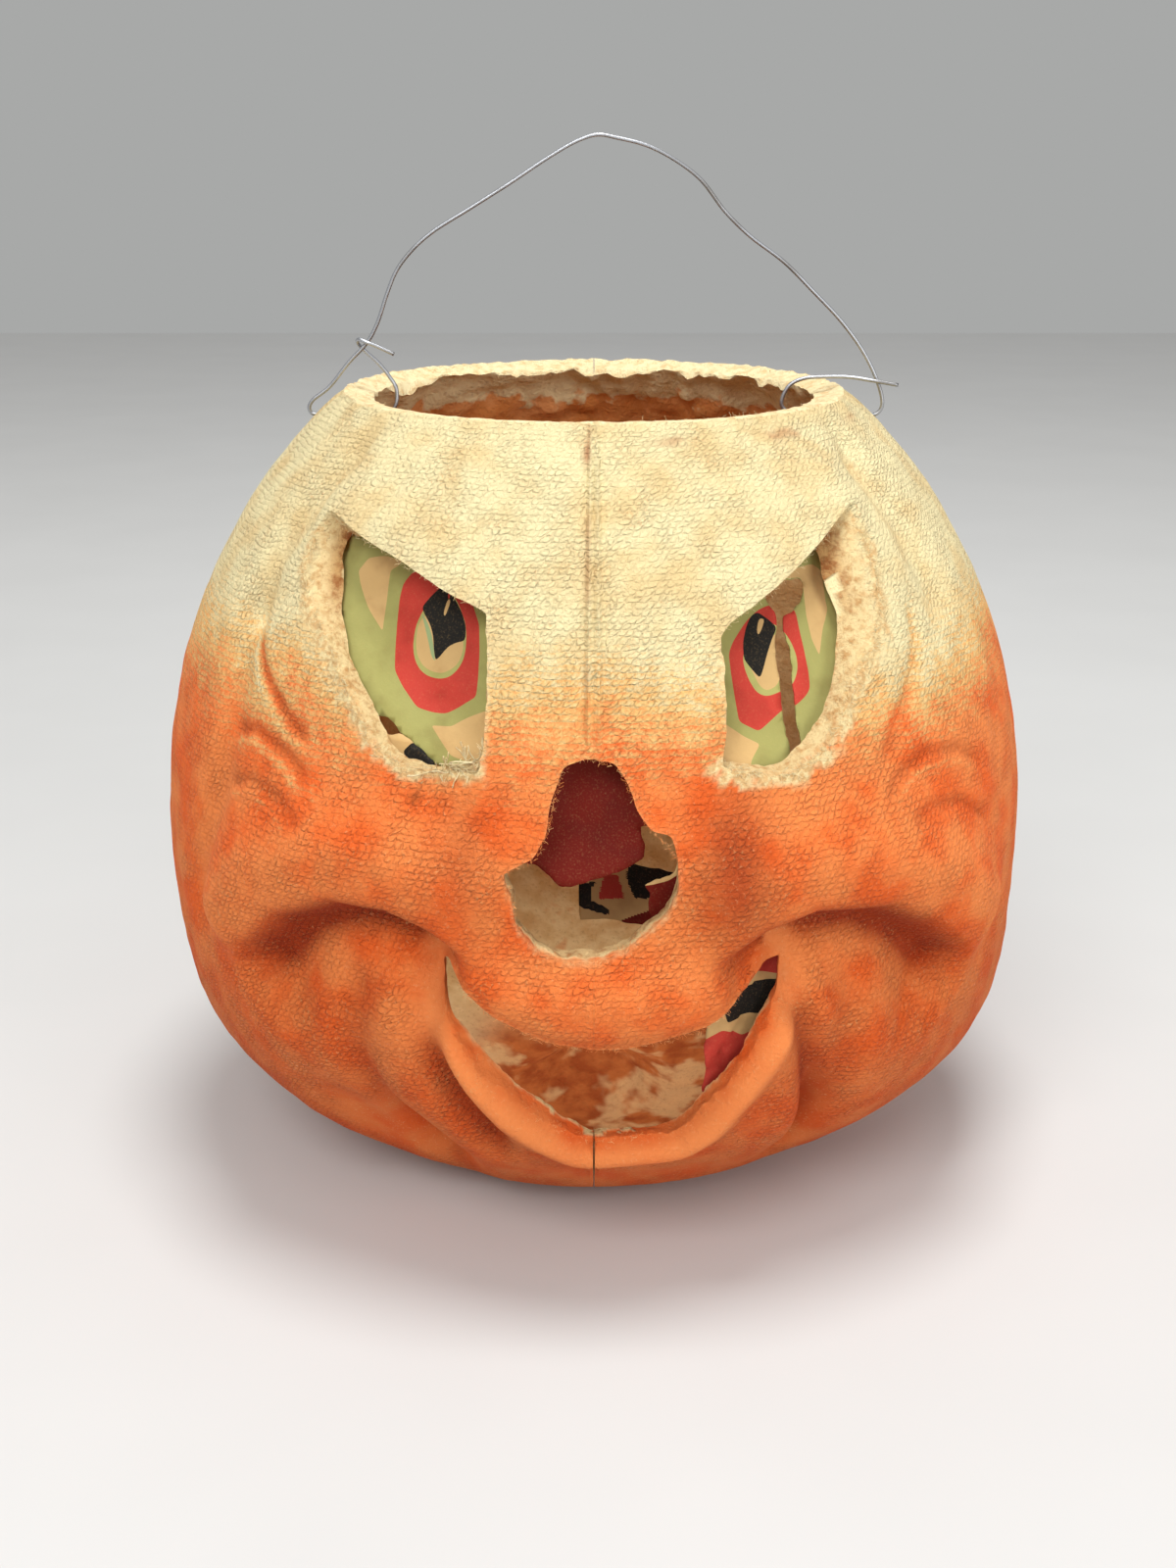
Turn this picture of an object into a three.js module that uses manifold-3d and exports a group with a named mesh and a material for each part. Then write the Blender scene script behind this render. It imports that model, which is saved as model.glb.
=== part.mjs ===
// A moulded paper pulp jack-o-lantern with pasted paper prints and a wire bail.
// Millimetres, +Z up. The face looks towards -Y. The origin is on the table, under the middle of the foot.

import * as THREE from 'three';
import { mergeVertices } from 'three/addons/utils/BufferGeometryUtils.js';
import Module from 'manifold-3d';

// Body
const bodyRadius = 76; // widest, side to side
const depthRatio = 0.97; // front to back over side to side
const widestHeight = 60.4;
const rimHeight = 134.8;
const rimRadius = 42.8; // outer edge of the opening
const footRadius = 26; // outer edge of the ring that it stands on
const kickRadius = 16; // inner edge of that ring
const kickHeight = 7; // rise of the floor inside the ring
const wall = 3.5;
const crownPower = 1.97; // roundness above the widest height
const bellyPower = 2.46; // fullness below it, measured upwards
const bellyWidthPower = 2.53; // and measured outwards
const seamGap = 0.3; // between the two moulded halves

// Relief of the face, the lobes and the wrinkles
const creaseDepth = 7; // under the cheeks
const innerCreaseDepth = 3.5; // the same crease on the inside of the wall
const cheekRise = 3.2;
const lipRoll = 2; // of the lower lip
const lipTurn = 1.8; // drop of its edge into the mouth
const lipValleyDepth = 4; // outside the lower lip
const upperLipRise = 3.6;
const noseRise = 2.4;
const browRise = 1.2;
const jawRise = 2.2;
const chinTuck = 2;
const leftNotchDepth = 6; // between chin and jaw
const rightNotchDepth = 1.4;
const cornerDepth = 1;
const foldDepth = 1.6; // behind the left cheek
const upperGrooveDepth = 2;
const lowerGrooveDepth = 2.8;
const lobeDepth = 2.2; // grooves between the lobes at the sides and the back
const lobeWidth = 8;
const lobeSwell = 0.8; // of the lobes themselves
const lobesFrom = 85; // degrees from the middle of the face, where the lobes begin to swell
const lobesFull = 115;
const wrinkleDepth = 1.1;
const wrinkleWidth = 1.8;
const thinnestWall = 1.8; // where the relief is deepest

// Paper prints
const paperThickness = 0.4;
const pasteGap = 0.3; // film of paste between paper and pulp
const creasedPasteGap = 1; // the same where the wall is creased
const mouthPaperGap = 1.8; // behind the mouth, where the paper bridges the creases

// Wire bail
const wireDiameter = 0.65;
const wireHoleDiameter = 1.6;
const wireHoleDrop = 4.3; // from the rim down to the holes
const bailRise = 41; // from the rim up to the top of the bail
const wireRunout = 1.1; // wire beyond the wall, outside each hole
const wireCrossing = 1.25; // between the middles of two wires that cross
const legInset = 3.6; // wire leg inside the opening, in from the rim's inner edge
const hookHeight = 7.4; // left end's hook above the rim
const leadHeight = 1.9; // right end's lead above the rim
const tailReach = 8.8; // right end's tip beyond the rim's outer edge

// Fineness of the mesh
const faceColumns = 64;
const faceHalfAngle = 80;
const backColumns = 20;
const outerRows = 47;
const innerColumns = 56;
const innerRows = 33;
const wireSides = 6;
const stepsPerWirePoint = 2;

const degrees = Math.PI / 180;
const { clamp, euclideanModulo, smoothstep } = THREE.MathUtils;
const smooth = (low, high, x) => smoothstep(x, low, high);
const bump = (distance, width) => Math.exp(-((distance / width) ** 2));

const wasm = await Module();
wasm.setup();

// Side profile of the body

const bellyFootCos = (footRadius / bodyRadius) ** (bellyWidthPower / 2);
const bellyFootSin = Math.sqrt(1 - bellyFootCos ** 2);
const bellyHeight = widestHeight / bellyFootSin ** (2 / bellyPower);
const crownRimCos = (rimRadius / bodyRadius) ** (crownPower / 2);
const crownRimSin = Math.sqrt(1 - crownRimCos ** 2);
const crownHeight = (rimHeight - widestHeight) / crownRimSin ** (2 / crownPower);

function radiusAt(z) {
  if (z >= widestHeight) {
    const up = Math.min((z - widestHeight) / crownHeight, 1);
    return bodyRadius * (1 - up ** crownPower) ** (1 / crownPower);
  }
  const down = clamp((widestHeight - z) / bellyHeight, 0, 1);
  return bodyRadius * (1 - down ** bellyPower) ** (1 / bellyWidthPower);
}

// Slope of the profile, outwards for each millimetre up
function slopeAt(z) {
  const step = 0.2;
  const low = clamp(z - step, 0, rimHeight - 2 * step);
  return (radiusAt(low + 2 * step) - radiusAt(low)) / (2 * step);
}

// Heights between the foot and the rim, the same distance apart along the profile
function spacedHeights(count) {
  const fine = 600;
  const heights = [];
  const travelled = [0];
  for (let i = 0; i <= fine; i++) {
    heights.push((rimHeight * (1 - Math.cos((Math.PI * i) / fine))) / 2);
    if (i > 0) {
      const rise = heights[i] - heights[i - 1];
      const run = radiusAt(heights[i]) - radiusAt(heights[i - 1]);
      travelled.push(travelled[i - 1] + Math.hypot(rise, run));
    }
  }
  const chosen = [];
  for (let row = 0, i = 0; row <= count; row++) {
    const goal = (travelled[fine] * row) / count;
    while (i < fine && travelled[i] < goal) i++;
    chosen.push(heights[i]);
  }
  chosen[count] = rimHeight;
  return chosen;
}

// Places on the face are given as [arc, height]: arc is the distance round the body from the middle of
// the face, at the widest radius. Places that lie near the middle are given as [x, height].

const arcFromX = ([x, z]) => [bodyRadius * Math.asin(clamp(x / radiusAt(z), -1, 1)), z];

const smileCreases = [
  [[-68, 47], [-61.5, 54.6], [-53, 62.4], [-41.7, 67.2], [-32, 67.5], [-24.7, 65.2], [-16, 60]],
  [[15, 60], [20.3, 62.2], [25.8, 65], [34.7, 67], [48.3, 65], [59.3, 59.1], [68.5, 51.6], [74, 45]],
];
const lowerLip = [
  [-23.2, 57.4], [-22.9, 54.6], [-22, 50.6], [-19.6, 46.4], [-15.4, 41.2], [-10.6, 35.6], [-6, 31.6],
  [-0.9, 27.6], [5.3, 28], [12.4, 29.2], [15.6, 32.4], [19.6, 38.6], [24.6, 46.4], [28.4, 52.4], [28.6, 57.2],
].map(arcFromX);
const lipValleys = [
  [[-27.7, 61], [-26.4, 55], [-26, 50], [-25.4, 42.5], [-23, 33.6], [-18.4, 26.2], [-16, 19]],
  [[28.6, 60], [31, 54], [34.4, 47.3], [38.7, 35.1], [43, 24], [45, 12]],
];
const mouthCorners = [[-27, 60], [29.5, 59.5]].map(arcFromX);
const brows = [
  [[-42, 125], [-28.4, 119], [-15.5, 113.5]],
  [[18, 111], [28, 117], [40, 125]],
].map((line) => line.map(arcFromX));

const upperGrooves = [
  [[-65.4, 134.4], [-66.3, 126.4], [-72.8, 116.3], [-75.1, 100]],
  [[79, 134], [72.9, 126.8], [75.9, 118.2], [77, 102]],
];
const lowerGrooves = [
  [[-39.9, 57], [-41, 47], [-41, 38], [-39.5, 30], [-36, 20], [-34, 8]],
  [[43.3, 57], [43.3, 46], [43.3, 38.2], [44, 28], [45, 8]],
];
const sideFolds = [
  [[-72.6, 113], [-71, 98.5], [-69.8, 89.4], [-70.4, 81.5], [-73.1, 70.7], [-77.4, 57.4], [-80, 46]],
];
const wrinkles = [
  [[-69.8, 103.2], [-62.2, 97.1], [-53.5, 91.4], [-47.4, 88.8]],
  [[-70.2, 87.4], [-61.7, 89.1], [-52.3, 86.5], [-46.4, 83.1]],
  [[-69.3, 79.1], [-60.5, 81.6], [-52.3, 79.8], [-45.7, 76.6]],
  [[48, 84], [52, 90], [58, 96], [64, 103], [66, 110]],
  [[46.5, 79.4], [51.4, 83.7], [58.9, 86], [68.5, 84.7], [76.2, 80.5]],
  [[50.7, 75.6], [57.4, 78], [66.7, 76.9], [76.4, 71.5]],
];
const lobeAngles = [-154, -128, -102, 102, 128, 154];

// Rounded swells, and hollows where the rise is negative: place, width, height, rise
const swells = [
  [[0, 54], 21, 7, upperLipRise],
  [[0, 77], 15, 13, noseRise],
  [[96, 28], 30, 14, jawRise],
  [[-96, 30], 30, 12, 0.4 * jawRise],
  [[5, 13], 38, 9, -chinTuck],
  [[-36, 17], 8, 10, -leftNotchDepth],
  [[-50, 21], 8, 10, -0.6 * leftNotchDepth],
  [[47, 16], 8, 10, -rightNotchDepth],
  ...mouthCorners.map((corner) => [corner, 5, 5, -cornerDepth]),
];

// Nearest place on a line: how far it is, how far above the line, and how far along it from 0 to 1
function nearestOn(line, s, z) {
  let total = 0;
  let best = { distance: Infinity };
  for (let i = 1; i < line.length; i++) {
    const ds = line[i][0] - line[i - 1][0];
    const dz = line[i][1] - line[i - 1][1];
    const span = Math.hypot(ds, dz);
    const ps = s - line[i - 1][0];
    const pz = z - line[i - 1][1];
    const part = clamp((ps * ds + pz * dz) / span ** 2, 0, 1);
    const distance = Math.hypot(ps - part * ds, pz - part * dz);
    if (distance < best.distance) {
      const above = distance * Math.sign(ds * pz - dz * ps);
      best = { distance, above, along: total + part * span };
    }
    total += span;
  }
  best.along /= total;
  return best;
}

const fadeEnds = (along, share = 0.15) => smooth(0, share, along) * (1 - smooth(1 - share, 1, along));
const softMin = (a, b) => -Math.log(Math.exp(-a) + Math.exp(-b));
const withinHalfTurn = (angle) => euclideanModulo(angle + 180, 360) - 180;

function grooves(lines, depth, width, s, z) {
  let sum = 0;
  for (const line of lines) {
    const { distance, along } = nearestOn(line, s, z);
    sum -= depth * fadeEnds(along) * bump(distance, width);
  }
  return sum;
}

function lobes(s, z) {
  const angle = s / bodyRadius / degrees;
  let sum = lobeSwell * smooth(lobesFrom, lobesFull, Math.abs(withinHalfTurn(angle)));
  for (const middle of lobeAngles) {
    sum -= lobeDepth * bump(withinHalfTurn(angle - middle) * degrees * bodyRadius, lobeWidth);
  }
  return sum * smooth(6, 30, z) * (1 - 0.6 * smooth(rimHeight - 30, rimHeight, z));
}

// Height of the outer surface over the plain body
function outerRelief(s, z) {
  let sum = lobes(s, z);
  for (const line of smileCreases) {
    const { above, along } = nearestOn(line, s, z);
    const step = smooth(-0.5, 3.6, -above) * (1 - smooth(5, 22, -above));
    sum += fadeEnds(along) * (cheekRise * bump(above - 7, 8) - creaseDepth * step);
  }
  const lip = nearestOn(lowerLip, s, z);
  if (lip.above < 0) {
    sum += fadeEnds(lip.along) * (lipRoll * bump(lip.distance - 4.6, 3) - lipTurn * bump(lip.distance, 3));
  }
  for (const line of brows) {
    const { distance, along } = nearestOn(line, s, z);
    sum += fadeEnds(along) * browRise * bump(distance, 6);
  }
  for (const [[arc, height], width, tallness, rise] of swells) {
    sum += rise * bump(s - arc, width) * bump(z - height, tallness);
  }
  sum += grooves(lipValleys, lipValleyDepth, 3, s, z);
  sum += grooves(upperGrooves, upperGrooveDepth, 5, s, z);
  sum += grooves(sideFolds, foldDepth, 4, s, z);
  sum += grooves(lowerGrooves, lowerGrooveDepth, 4.6, s, z);
  sum += grooves(wrinkles, wrinkleDepth, wrinkleWidth, s, z);
  return sum;
}

// The same for the inside of the wall, which follows only the broad forms and leaves the thinnest wall
function innerRelief(s, z) {
  let sum = lobes(s, z);
  for (const line of smileCreases) {
    const { above, along } = nearestOn(line, s, z);
    sum -= fadeEnds(along) * innerCreaseDepth * bump(-above - 9, 11);
  }
  sum += grooves(lowerGrooves, 2, 8, s, z);
  return softMin(sum, outerRelief(s, z) + wall - thinnestWall);
}

// A point of the body: azimuth 0 is the middle of the face, and inset goes into the wall
function bodyPoint(azimuth, z, relief, inset) {
  const slope = slopeAt(z);
  const level = smooth(0, 12, z) * (1 - smooth(rimHeight - 9, rimHeight, z));
  const lift = relief(azimuth * bodyRadius, z) * smooth(1, 14, z);
  const outward = 1 / Math.hypot(1, slope);
  const upward = -slope * outward;
  const radius = radiusAt(z) + outward * (lift - inset);
  return new THREE.Vector3(
    radius * Math.sin(azimuth),
    -radius * Math.cos(azimuth) * depthRatio,
    z + upward * (lift * level - inset),
  );
}

// Solids from points

function indexed(points, faces) {
  const geometry = new THREE.BufferGeometry();
  geometry.setAttribute('position', new THREE.Float32BufferAttribute(points.flatMap((p) => p.toArray()), 3));
  geometry.setIndex(faces.flat());
  return geometry;
}

function toSolid(geometry) {
  const bare = geometry.clone();
  bare.deleteAttribute('normal');
  bare.deleteAttribute('uv');
  const merged = mergeVertices(bare, 1e-4);
  const solid = new wasm.Manifold(new wasm.Mesh({
    numProp: 3,
    vertProperties: new Float32Array(merged.attributes.position.array),
    triVerts: new Uint32Array(merged.index.array),
  }));
  return solid;
}

function toMesh(name, solid, finish) {
  const { vertProperties, triVerts, numProp } = solid.getMesh();
  const geometry = new THREE.BufferGeometry();
  const corners = [];
  for (let i = 0; i < vertProperties.length; i += numProp) corners.push(...vertProperties.slice(i, i + 3));
  geometry.setAttribute('position', new THREE.Float32BufferAttribute(corners, 3));
  geometry.setIndex(new THREE.Uint32BufferAttribute(triVerts, 1));
  geometry.computeVertexNormals();
  const mesh = new THREE.Mesh(geometry, new THREE.MeshStandardMaterial(finish));
  mesh.name = name;
  return mesh;
}

// A closed surface through rings of points that run round the Z axis, from the bottom to the top
function ringSolid(bottom, rings, top) {
  const count = rings[0].length;
  const points = [bottom, ...rings.flat(), top];
  const at = (ring, column) => 1 + ring * count + (column % count);
  const faces = [];
  for (let c = 0; c < count; c++) {
    faces.push([0, at(0, c + 1), at(0, c)]);
    for (let r = 0; r + 1 < rings.length; r++) {
      faces.push([at(r, c), at(r, c + 1), at(r + 1, c + 1)], [at(r, c), at(r + 1, c + 1), at(r + 1, c)]);
    }
    faces.push([points.length - 1, at(rings.length - 1, c), at(rings.length - 1, c + 1)]);
  }
  return toSolid(indexed(points, faces));
}

// A closed sheet between two grids of points, front and back
function sheetSolid(front, back) {
  const rows = front.length;
  const columns = front[0].length;
  const at = (side, r, c) => side * rows * columns + r * columns + c;
  const faces = [];
  for (let r = 0; r + 1 < rows; r++) {
    for (let c = 0; c + 1 < columns; c++) {
      faces.push([at(0, r, c), at(0, r, c + 1), at(0, r + 1, c + 1)]);
      faces.push([at(0, r, c), at(0, r + 1, c + 1), at(0, r + 1, c)]);
      faces.push([at(1, r, c), at(1, r + 1, c + 1), at(1, r, c + 1)]);
      faces.push([at(1, r, c), at(1, r + 1, c), at(1, r + 1, c + 1)]);
    }
  }
  const edge = [];
  for (let c = 0; c < columns - 1; c++) edge.push([0, c]);
  for (let r = 0; r < rows - 1; r++) edge.push([r, columns - 1]);
  for (let c = columns - 1; c > 0; c--) edge.push([rows - 1, c]);
  for (let r = rows - 1; r > 0; r--) edge.push([r, 0]);
  edge.forEach((place, i) => {
    const next = edge[(i + 1) % edge.length];
    faces.push([at(0, ...place), at(1, ...next), at(0, ...next)]);
    faces.push([at(0, ...place), at(1, ...place), at(1, ...next)]);
  });
  return toSolid(indexed([...front.flat(), ...back.flat()], faces));
}

// A straight cutter along Y with an outline of [x, height] points, from one Y to the other
function prismAlongY(outline, fromY, toY) {
  const shape = new THREE.Shape(outline.map(([x, z]) => new THREE.Vector2(x, z)));
  const geometry = new THREE.ExtrudeGeometry(shape, { depth: toY - fromY, bevelEnabled: false });
  geometry.rotateX(Math.PI / 2);
  geometry.translate(0, toY, 0);
  return toSolid(geometry);
}

// Triangles that fill a ring of points seen along Y, turning the same way as the ring does
function capFaces(ring) {
  const flat = ring.map((p) => new THREE.Vector2(p.x, p.z));
  const faces = THREE.ShapeUtils.triangulateShape(flat, []);
  const [a, b, c] = faces[0];
  const sameWay = THREE.ShapeUtils.isClockWise([flat[a], flat[b], flat[c]])
    === THREE.ShapeUtils.isClockWise(flat);
  return sameWay ? faces : faces.map(([i, j, k]) => [i, k, j]);
}

// A cutter whose side walls run from an outer outline on the front of the wall to an inner one behind it,
// and straight back from there.
// Each entry is [outer x, outer height, inner x, inner height], or [x, height] where the cut is straight.
function openingCutter(edges) {
  const beyond = 9;
  const onBody = (x, z, inset) => {
    const radius = radiusAt(z) - inset * Math.hypot(1, slopeAt(z));
    return new THREE.Vector3(x, -depthRatio * Math.sqrt(Math.max(radius ** 2 - x ** 2, 0)), z);
  };
  const outline = edges.map(([x, z]) => new THREE.Vector2(x, z));
  const turning = THREE.ShapeUtils.isClockWise(outline) ? edges : edges.toReversed();
  const outer = [];
  const inner = [];
  const back = [];
  for (const [x, z, innerX = x, innerZ = z] of turning) {
    const front = onBody(x, z, 0);
    const behind = onBody(innerX, innerZ, wall);
    const direction = behind.clone().sub(front).normalize();
    outer.push(front.addScaledVector(direction, -beyond));
    inner.push(behind);
    back.push(behind.clone().add(new THREE.Vector3(0, beyond, 0)));
  }
  const count = edges.length;
  const faces = [
    ...capFaces(outer).map(([a, b, c]) => [a, c, b]),
    ...capFaces(back).map(([a, b, c]) => [a + 2 * count, b + 2 * count, c + 2 * count]),
  ];
  for (const first of [0, count]) {
    for (let i = 0; i < count; i++) {
      const a = first + i;
      const b = first + ((i + 1) % count);
      faces.push([a, b, b + count], [a, b + count, a + count]);
    }
  }
  return toSolid(indexed([...outer, ...inner, ...back], faces));
}

// Shell of moulded pulp

const leftEyeHole = [
  [-39.8, 120.6, -37.6, 117.4], [-34.8, 118.4, -34.8, 117.4], [-28.4, 116.1, -28.4, 115.5],
  [-22.3, 113, -22.3, 112.6], [-15.5, 110.3, -15.5, 110], [-15.4, 100.6], [-15.8, 92.6], [-16.7, 88.9],
  [-23.6, 88], [-28.6, 88.4, -28.2, 88.9], [-32.4, 90.3, -30.7, 90.9], [-34.2, 93.6, -32.2, 94],
  [-37.2, 97.8, -35.2, 98.2], [-39.6, 102.6, -37.5, 102.8], [-42.4, 106.7, -38.7, 107.4],
  [-44.6, 110.4, -38.9, 110.8], [-44.6, 113.6, -38.4, 113.6], [-42.8, 117.2, -37.8, 116],
];
const rightEyeHole = [
  [38.4, 121.6, 34.5, 117.6], [40.6, 118.7, 33.9, 115.9], [42, 115.8, 34.9, 113], [43.2, 110.7, 36.1, 109.9],
  [44, 106.2, 37.3, 107], [41.6, 102.4, 37, 103.6], [38.6, 97.4, 36, 98], [36.4, 92.6, 34, 93.4],
  [33.2, 89, 31.2, 90.3], [28.8, 87, 28.1, 88.2], [24.8, 87.6], [18.4, 89.2], [19.2, 94.4], [19, 100.4],
  [18.3, 106.9], [19.8, 108.7], [23.5, 111], [28, 113.8], [33.7, 118],
];
const noseHole = [
  [-0.8, 91.5], [-4.3, 90.4], [-6.2, 85.6], [-6.9, 80.8], [-8.6, 77.6], [-13.3, 75], [-11.9, 71.2],
  [-11.3, 66.6], [-8.3, 63.2], [-3.7, 61.8], [0.9, 62.1], [4.8, 63.6], [10.5, 68.4], [12.2, 72.2],
  [12.2, 77], [11.2, 80.6], [8.3, 81.4], [6.2, 84.3], [5.1, 87.7], [3.1, 90.7],
];
const mouthHole = [
  [29, 58.6, 28.6, 57.2], [29.3, 52, 28.4, 52.4], [25.6, 45.8, 24.6, 46.4], [20.6, 38, 19.6, 38.6],
  [16, 31.9, 15.6, 32.4], [12.2, 28.6, 12.4, 29.2], [5.2, 27.6, 5.3, 28], [-0.9, 27.2, -0.9, 27.6],
  [-6.2, 30.6, -6, 31.6], [-11.2, 34.4, -10.6, 35.6], [-16.4, 40, -15.4, 41.2], [-20.6, 45.2, -19.6, 46.4],
  [-23.4, 50, -22, 50.6], [-24.6, 54.8, -22.9, 54.6], [-25.4, 58.6, -23.2, 57.4], [-21.9, 58],
  [-15.4, 52.2], [-6.7, 47.8], [-0.1, 46.6], [5, 46.5], [16.7, 49.6], [24, 54.4],
];

const wireHoleHeight = rimHeight - wireHoleDrop;

function azimuths(faceCount, backCount) {
  const edge = faceHalfAngle * degrees;
  const list = [];
  for (let i = 0; i < faceCount; i++) list.push(-edge + (2 * edge * i) / faceCount);
  for (let i = 0; i < backCount; i++) list.push(edge + ((2 * Math.PI - 2 * edge) * i) / backCount);
  return list;
}

// Rings of the floor that rises inside the foot, for one face of the wall
function floorRings(angles, inset, shares) {
  return shares.map((share) => {
    const height = kickHeight * (1 - share ** 2) ** 2 + inset;
    const radius = kickRadius * share;
    return angles.map((a) => new THREE.Vector3(
      radius * Math.sin(a), -radius * Math.cos(a) * depthRatio, height));
  });
}

function outerBody() {
  const angles = azimuths(faceColumns, backColumns);
  const rings = floorRings(angles, 0, [0.4, 0.7, 1]);
  for (const z of spacedHeights(outerRows)) rings.push(angles.map((a) => bodyPoint(a, z, outerRelief, 0)));
  return ringSolid(new THREE.Vector3(0, 0, kickHeight), rings, new THREE.Vector3(0, 0, rimHeight));
}

function hollow() {
  const angles = azimuths(Math.round(innerColumns * 0.64), Math.round(innerColumns * 0.36));
  const rings = floorRings(angles, wall, [0.5, 1]);
  const firstHeight = 1.5 * wall;
  for (const z of spacedHeights(innerRows)) {
    if (z > firstHeight) rings.push(angles.map((a) => bodyPoint(a, z, innerRelief, wall)));
  }
  const last = rings.at(-1);
  const above = 3 * wall;
  rings.push(last.map((p) => {
    const shrink = 1 + (slopeAt(rimHeight) * above) / rimRadius;
    return new THREE.Vector3(p.x * shrink, p.y * shrink, p.z + above);
  }));
  return ringSolid(
    new THREE.Vector3(0, 0, kickHeight + wall), rings, new THREE.Vector3(0, 0, rimHeight + above));
}

function wireHoles() {
  const length = 2 * bodyRadius;
  const geometry = new THREE.CylinderGeometry(wireHoleDiameter / 2, wireHoleDiameter / 2, length, 8);
  geometry.rotateZ(Math.PI / 2);
  geometry.translate(0, 0, wireHoleHeight);
  return toSolid(geometry);
}

function wholeShell() {
  return outerBody()
    .subtract(hollow())
    .subtract(openingCutter(leftEyeHole))
    .subtract(openingCutter(rightEyeHole))
    .subtract(openingCutter(noseHole))
    .subtract(openingCutter(mouthHole))
    .subtract(wireHoles());
}

function shellHalf(shell, side) {
  const size = 3 * bodyRadius;
  const box = new THREE.BoxGeometry(size, size, 2 * rimHeight + size);
  box.translate((side * (size + seamGap)) / 2, 0, 0);
  return shell.intersect(toSolid(box));
}

// Paper prints pasted inside the openings

// A curved sheet on the inside of the wall, trimmed to an outline of [x, height] points
function pastedPaper(outline, gap = pasteGap) {
  const margin = 4;
  const heights = outline.map(([, z]) => z);
  const arcs = outline.map((place) => arcFromX(place)[0]);
  const low = Math.min(...heights) - margin;
  const high = Math.min(Math.max(...heights) + margin, rimHeight);
  const left = Math.min(...arcs) - 2 * margin;
  const right = Math.max(...arcs) + 2 * margin;
  const spacing = 5;
  const columns = Math.ceil((right - left) / spacing);
  const rows = Math.ceil((high - low) / spacing);
  const face = (inset) => {
    const grid = [];
    for (let r = 0; r <= rows; r++) {
      const z = low + ((high - low) * r) / rows;
      const line = [];
      for (let c = 0; c <= columns; c++) {
        const azimuth = (left + ((right - left) * c) / columns) / bodyRadius;
        line.push(bodyPoint(azimuth, z, innerRelief, inset));
      }
      grid.push(line);
    }
    return grid;
  };
  const sheet = sheetSolid(face(wall + gap), face(wall + gap + paperThickness));
  return sheet.intersect(prismAlongY(outline, -bodyRadius, 0));
}

const leftEyePaper = [
  [-42, 113], [-35, 121], [-12, 116], [-10, 100], [-11, 84], [-20, 83.5], [-26.5, 86], [-31.5, 92.5],
  [-40, 93], [-42.5, 103],
];
const rightEyePaper = [
  [34, 121], [42, 113], [43, 100], [38, 88], [28, 83], [13, 84], [13, 105], [17, 113],
];
const leftEyeScrap = [
  [-38, 91.5], [-32.2, 91.3], [-27.2, 85.2], [-21, 82.6], [-22, 79], [-34, 79], [-39, 85],
];
const nosePaper = [
  [-9.3, 95], [12.3, 95], [12.3, 83], [18, 82.2], [18, 80.2], [14, 79.6], [9.4, 79.8], [8.9, 76.3],
  [6.4, 74.1], [2.7, 72.5], [-3, 71.2], [-6.7, 72.1], [-10.3, 74.2], [-17, 78], [-17, 82.6], [-9.3, 83],
];
const noseScrap = [
  [18, 78], [12.4, 78.6], [11.6, 75], [7.6, 72.8], [9.6, 69.8], [9, 66.6], [11, 62], [18, 63],
];
const mouthPaper = [
  [16.6, 33.5], [17.3, 47.7], [18, 56], [27, 56.5], [27.5, 66], [38, 66], [42, 54], [36, 36], [24, 29.5],
];
// The torn end of the mouth's paper leaves the wall and curls inwards, behind the nose.
// Its route is in [x, distance in front of the body's axis].
const curlRoute = [[33, 57], [21, 54.5], [12, 50], [4, 46.5], [-2, 45.5]];
const curlLow = 57;
const curlHigh = 66;
const curlFreeFrom = 0.08; // share of the curl's length that stays on the wall

function mouthPaperCurl() {
  const route = new THREE.CatmullRomCurve3(curlRoute.map(([x, front]) => new THREE.Vector3(x, -front, 0)));
  const steps = 14;
  const rows = 4;
  const startAzimuth = Math.asin(curlRoute[0][0] / radiusAt(curlHigh));
  const face = (offset) => Array.from({ length: rows + 1 }, (_, row) => {
    const z = curlLow + ((curlHigh - curlLow) * row) / rows;
    const line = [];
    for (let i = 0; i <= steps; i++) {
      const part = i / steps;
      const free = smooth(curlFreeFrom, 0.6, part);
      const point = route.getPoint(part);
      const along = route.getTangent(part);
      const loose = new THREE.Vector3(point.x - along.y * offset, point.y + along.x * offset, z);
      const inset = wall + mouthPaperGap + paperThickness - offset;
      const azimuth = startAzimuth * (1 - 0.6 * part);
      line.push(bodyPoint(azimuth, z, innerRelief, inset).lerp(loose, free));
    }
    return line;
  });
  return sheetSolid(face(-paperThickness / 2), face(paperThickness / 2));
}

// Wire bail

// Shape of the bail between its legs, as shares of the rim's radius across and of the rise up
const bailShape = [
  [-0.895, 0.19], [-0.853, 0.266], [-0.811, 0.383], [-0.769, 0.478], [-0.708, 0.556], [-0.631, 0.624],
  [-0.477, 0.72], [-0.325, 0.815], [-0.173, 0.915], [-0.061, 0.978], [0.014, 1], [0.089, 0.988],
  [0.203, 0.959], [0.315, 0.902], [0.411, 0.829], [0.507, 0.707], [0.605, 0.612], [0.741, 0.51],
  [0.86, 0.393], [0.981, 0.266], [1.075, 0.136],
];

// A wire whose rings are dense where its points are dense, so that tight bends stay round
class WireCurve extends THREE.CatmullRomCurve3 {
  getPointAt(u, target) {
    return this.getPoint(u, target);
  }

  getTangentAt(u, target) {
    return this.getTangent(u, target);
  }
}

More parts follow.
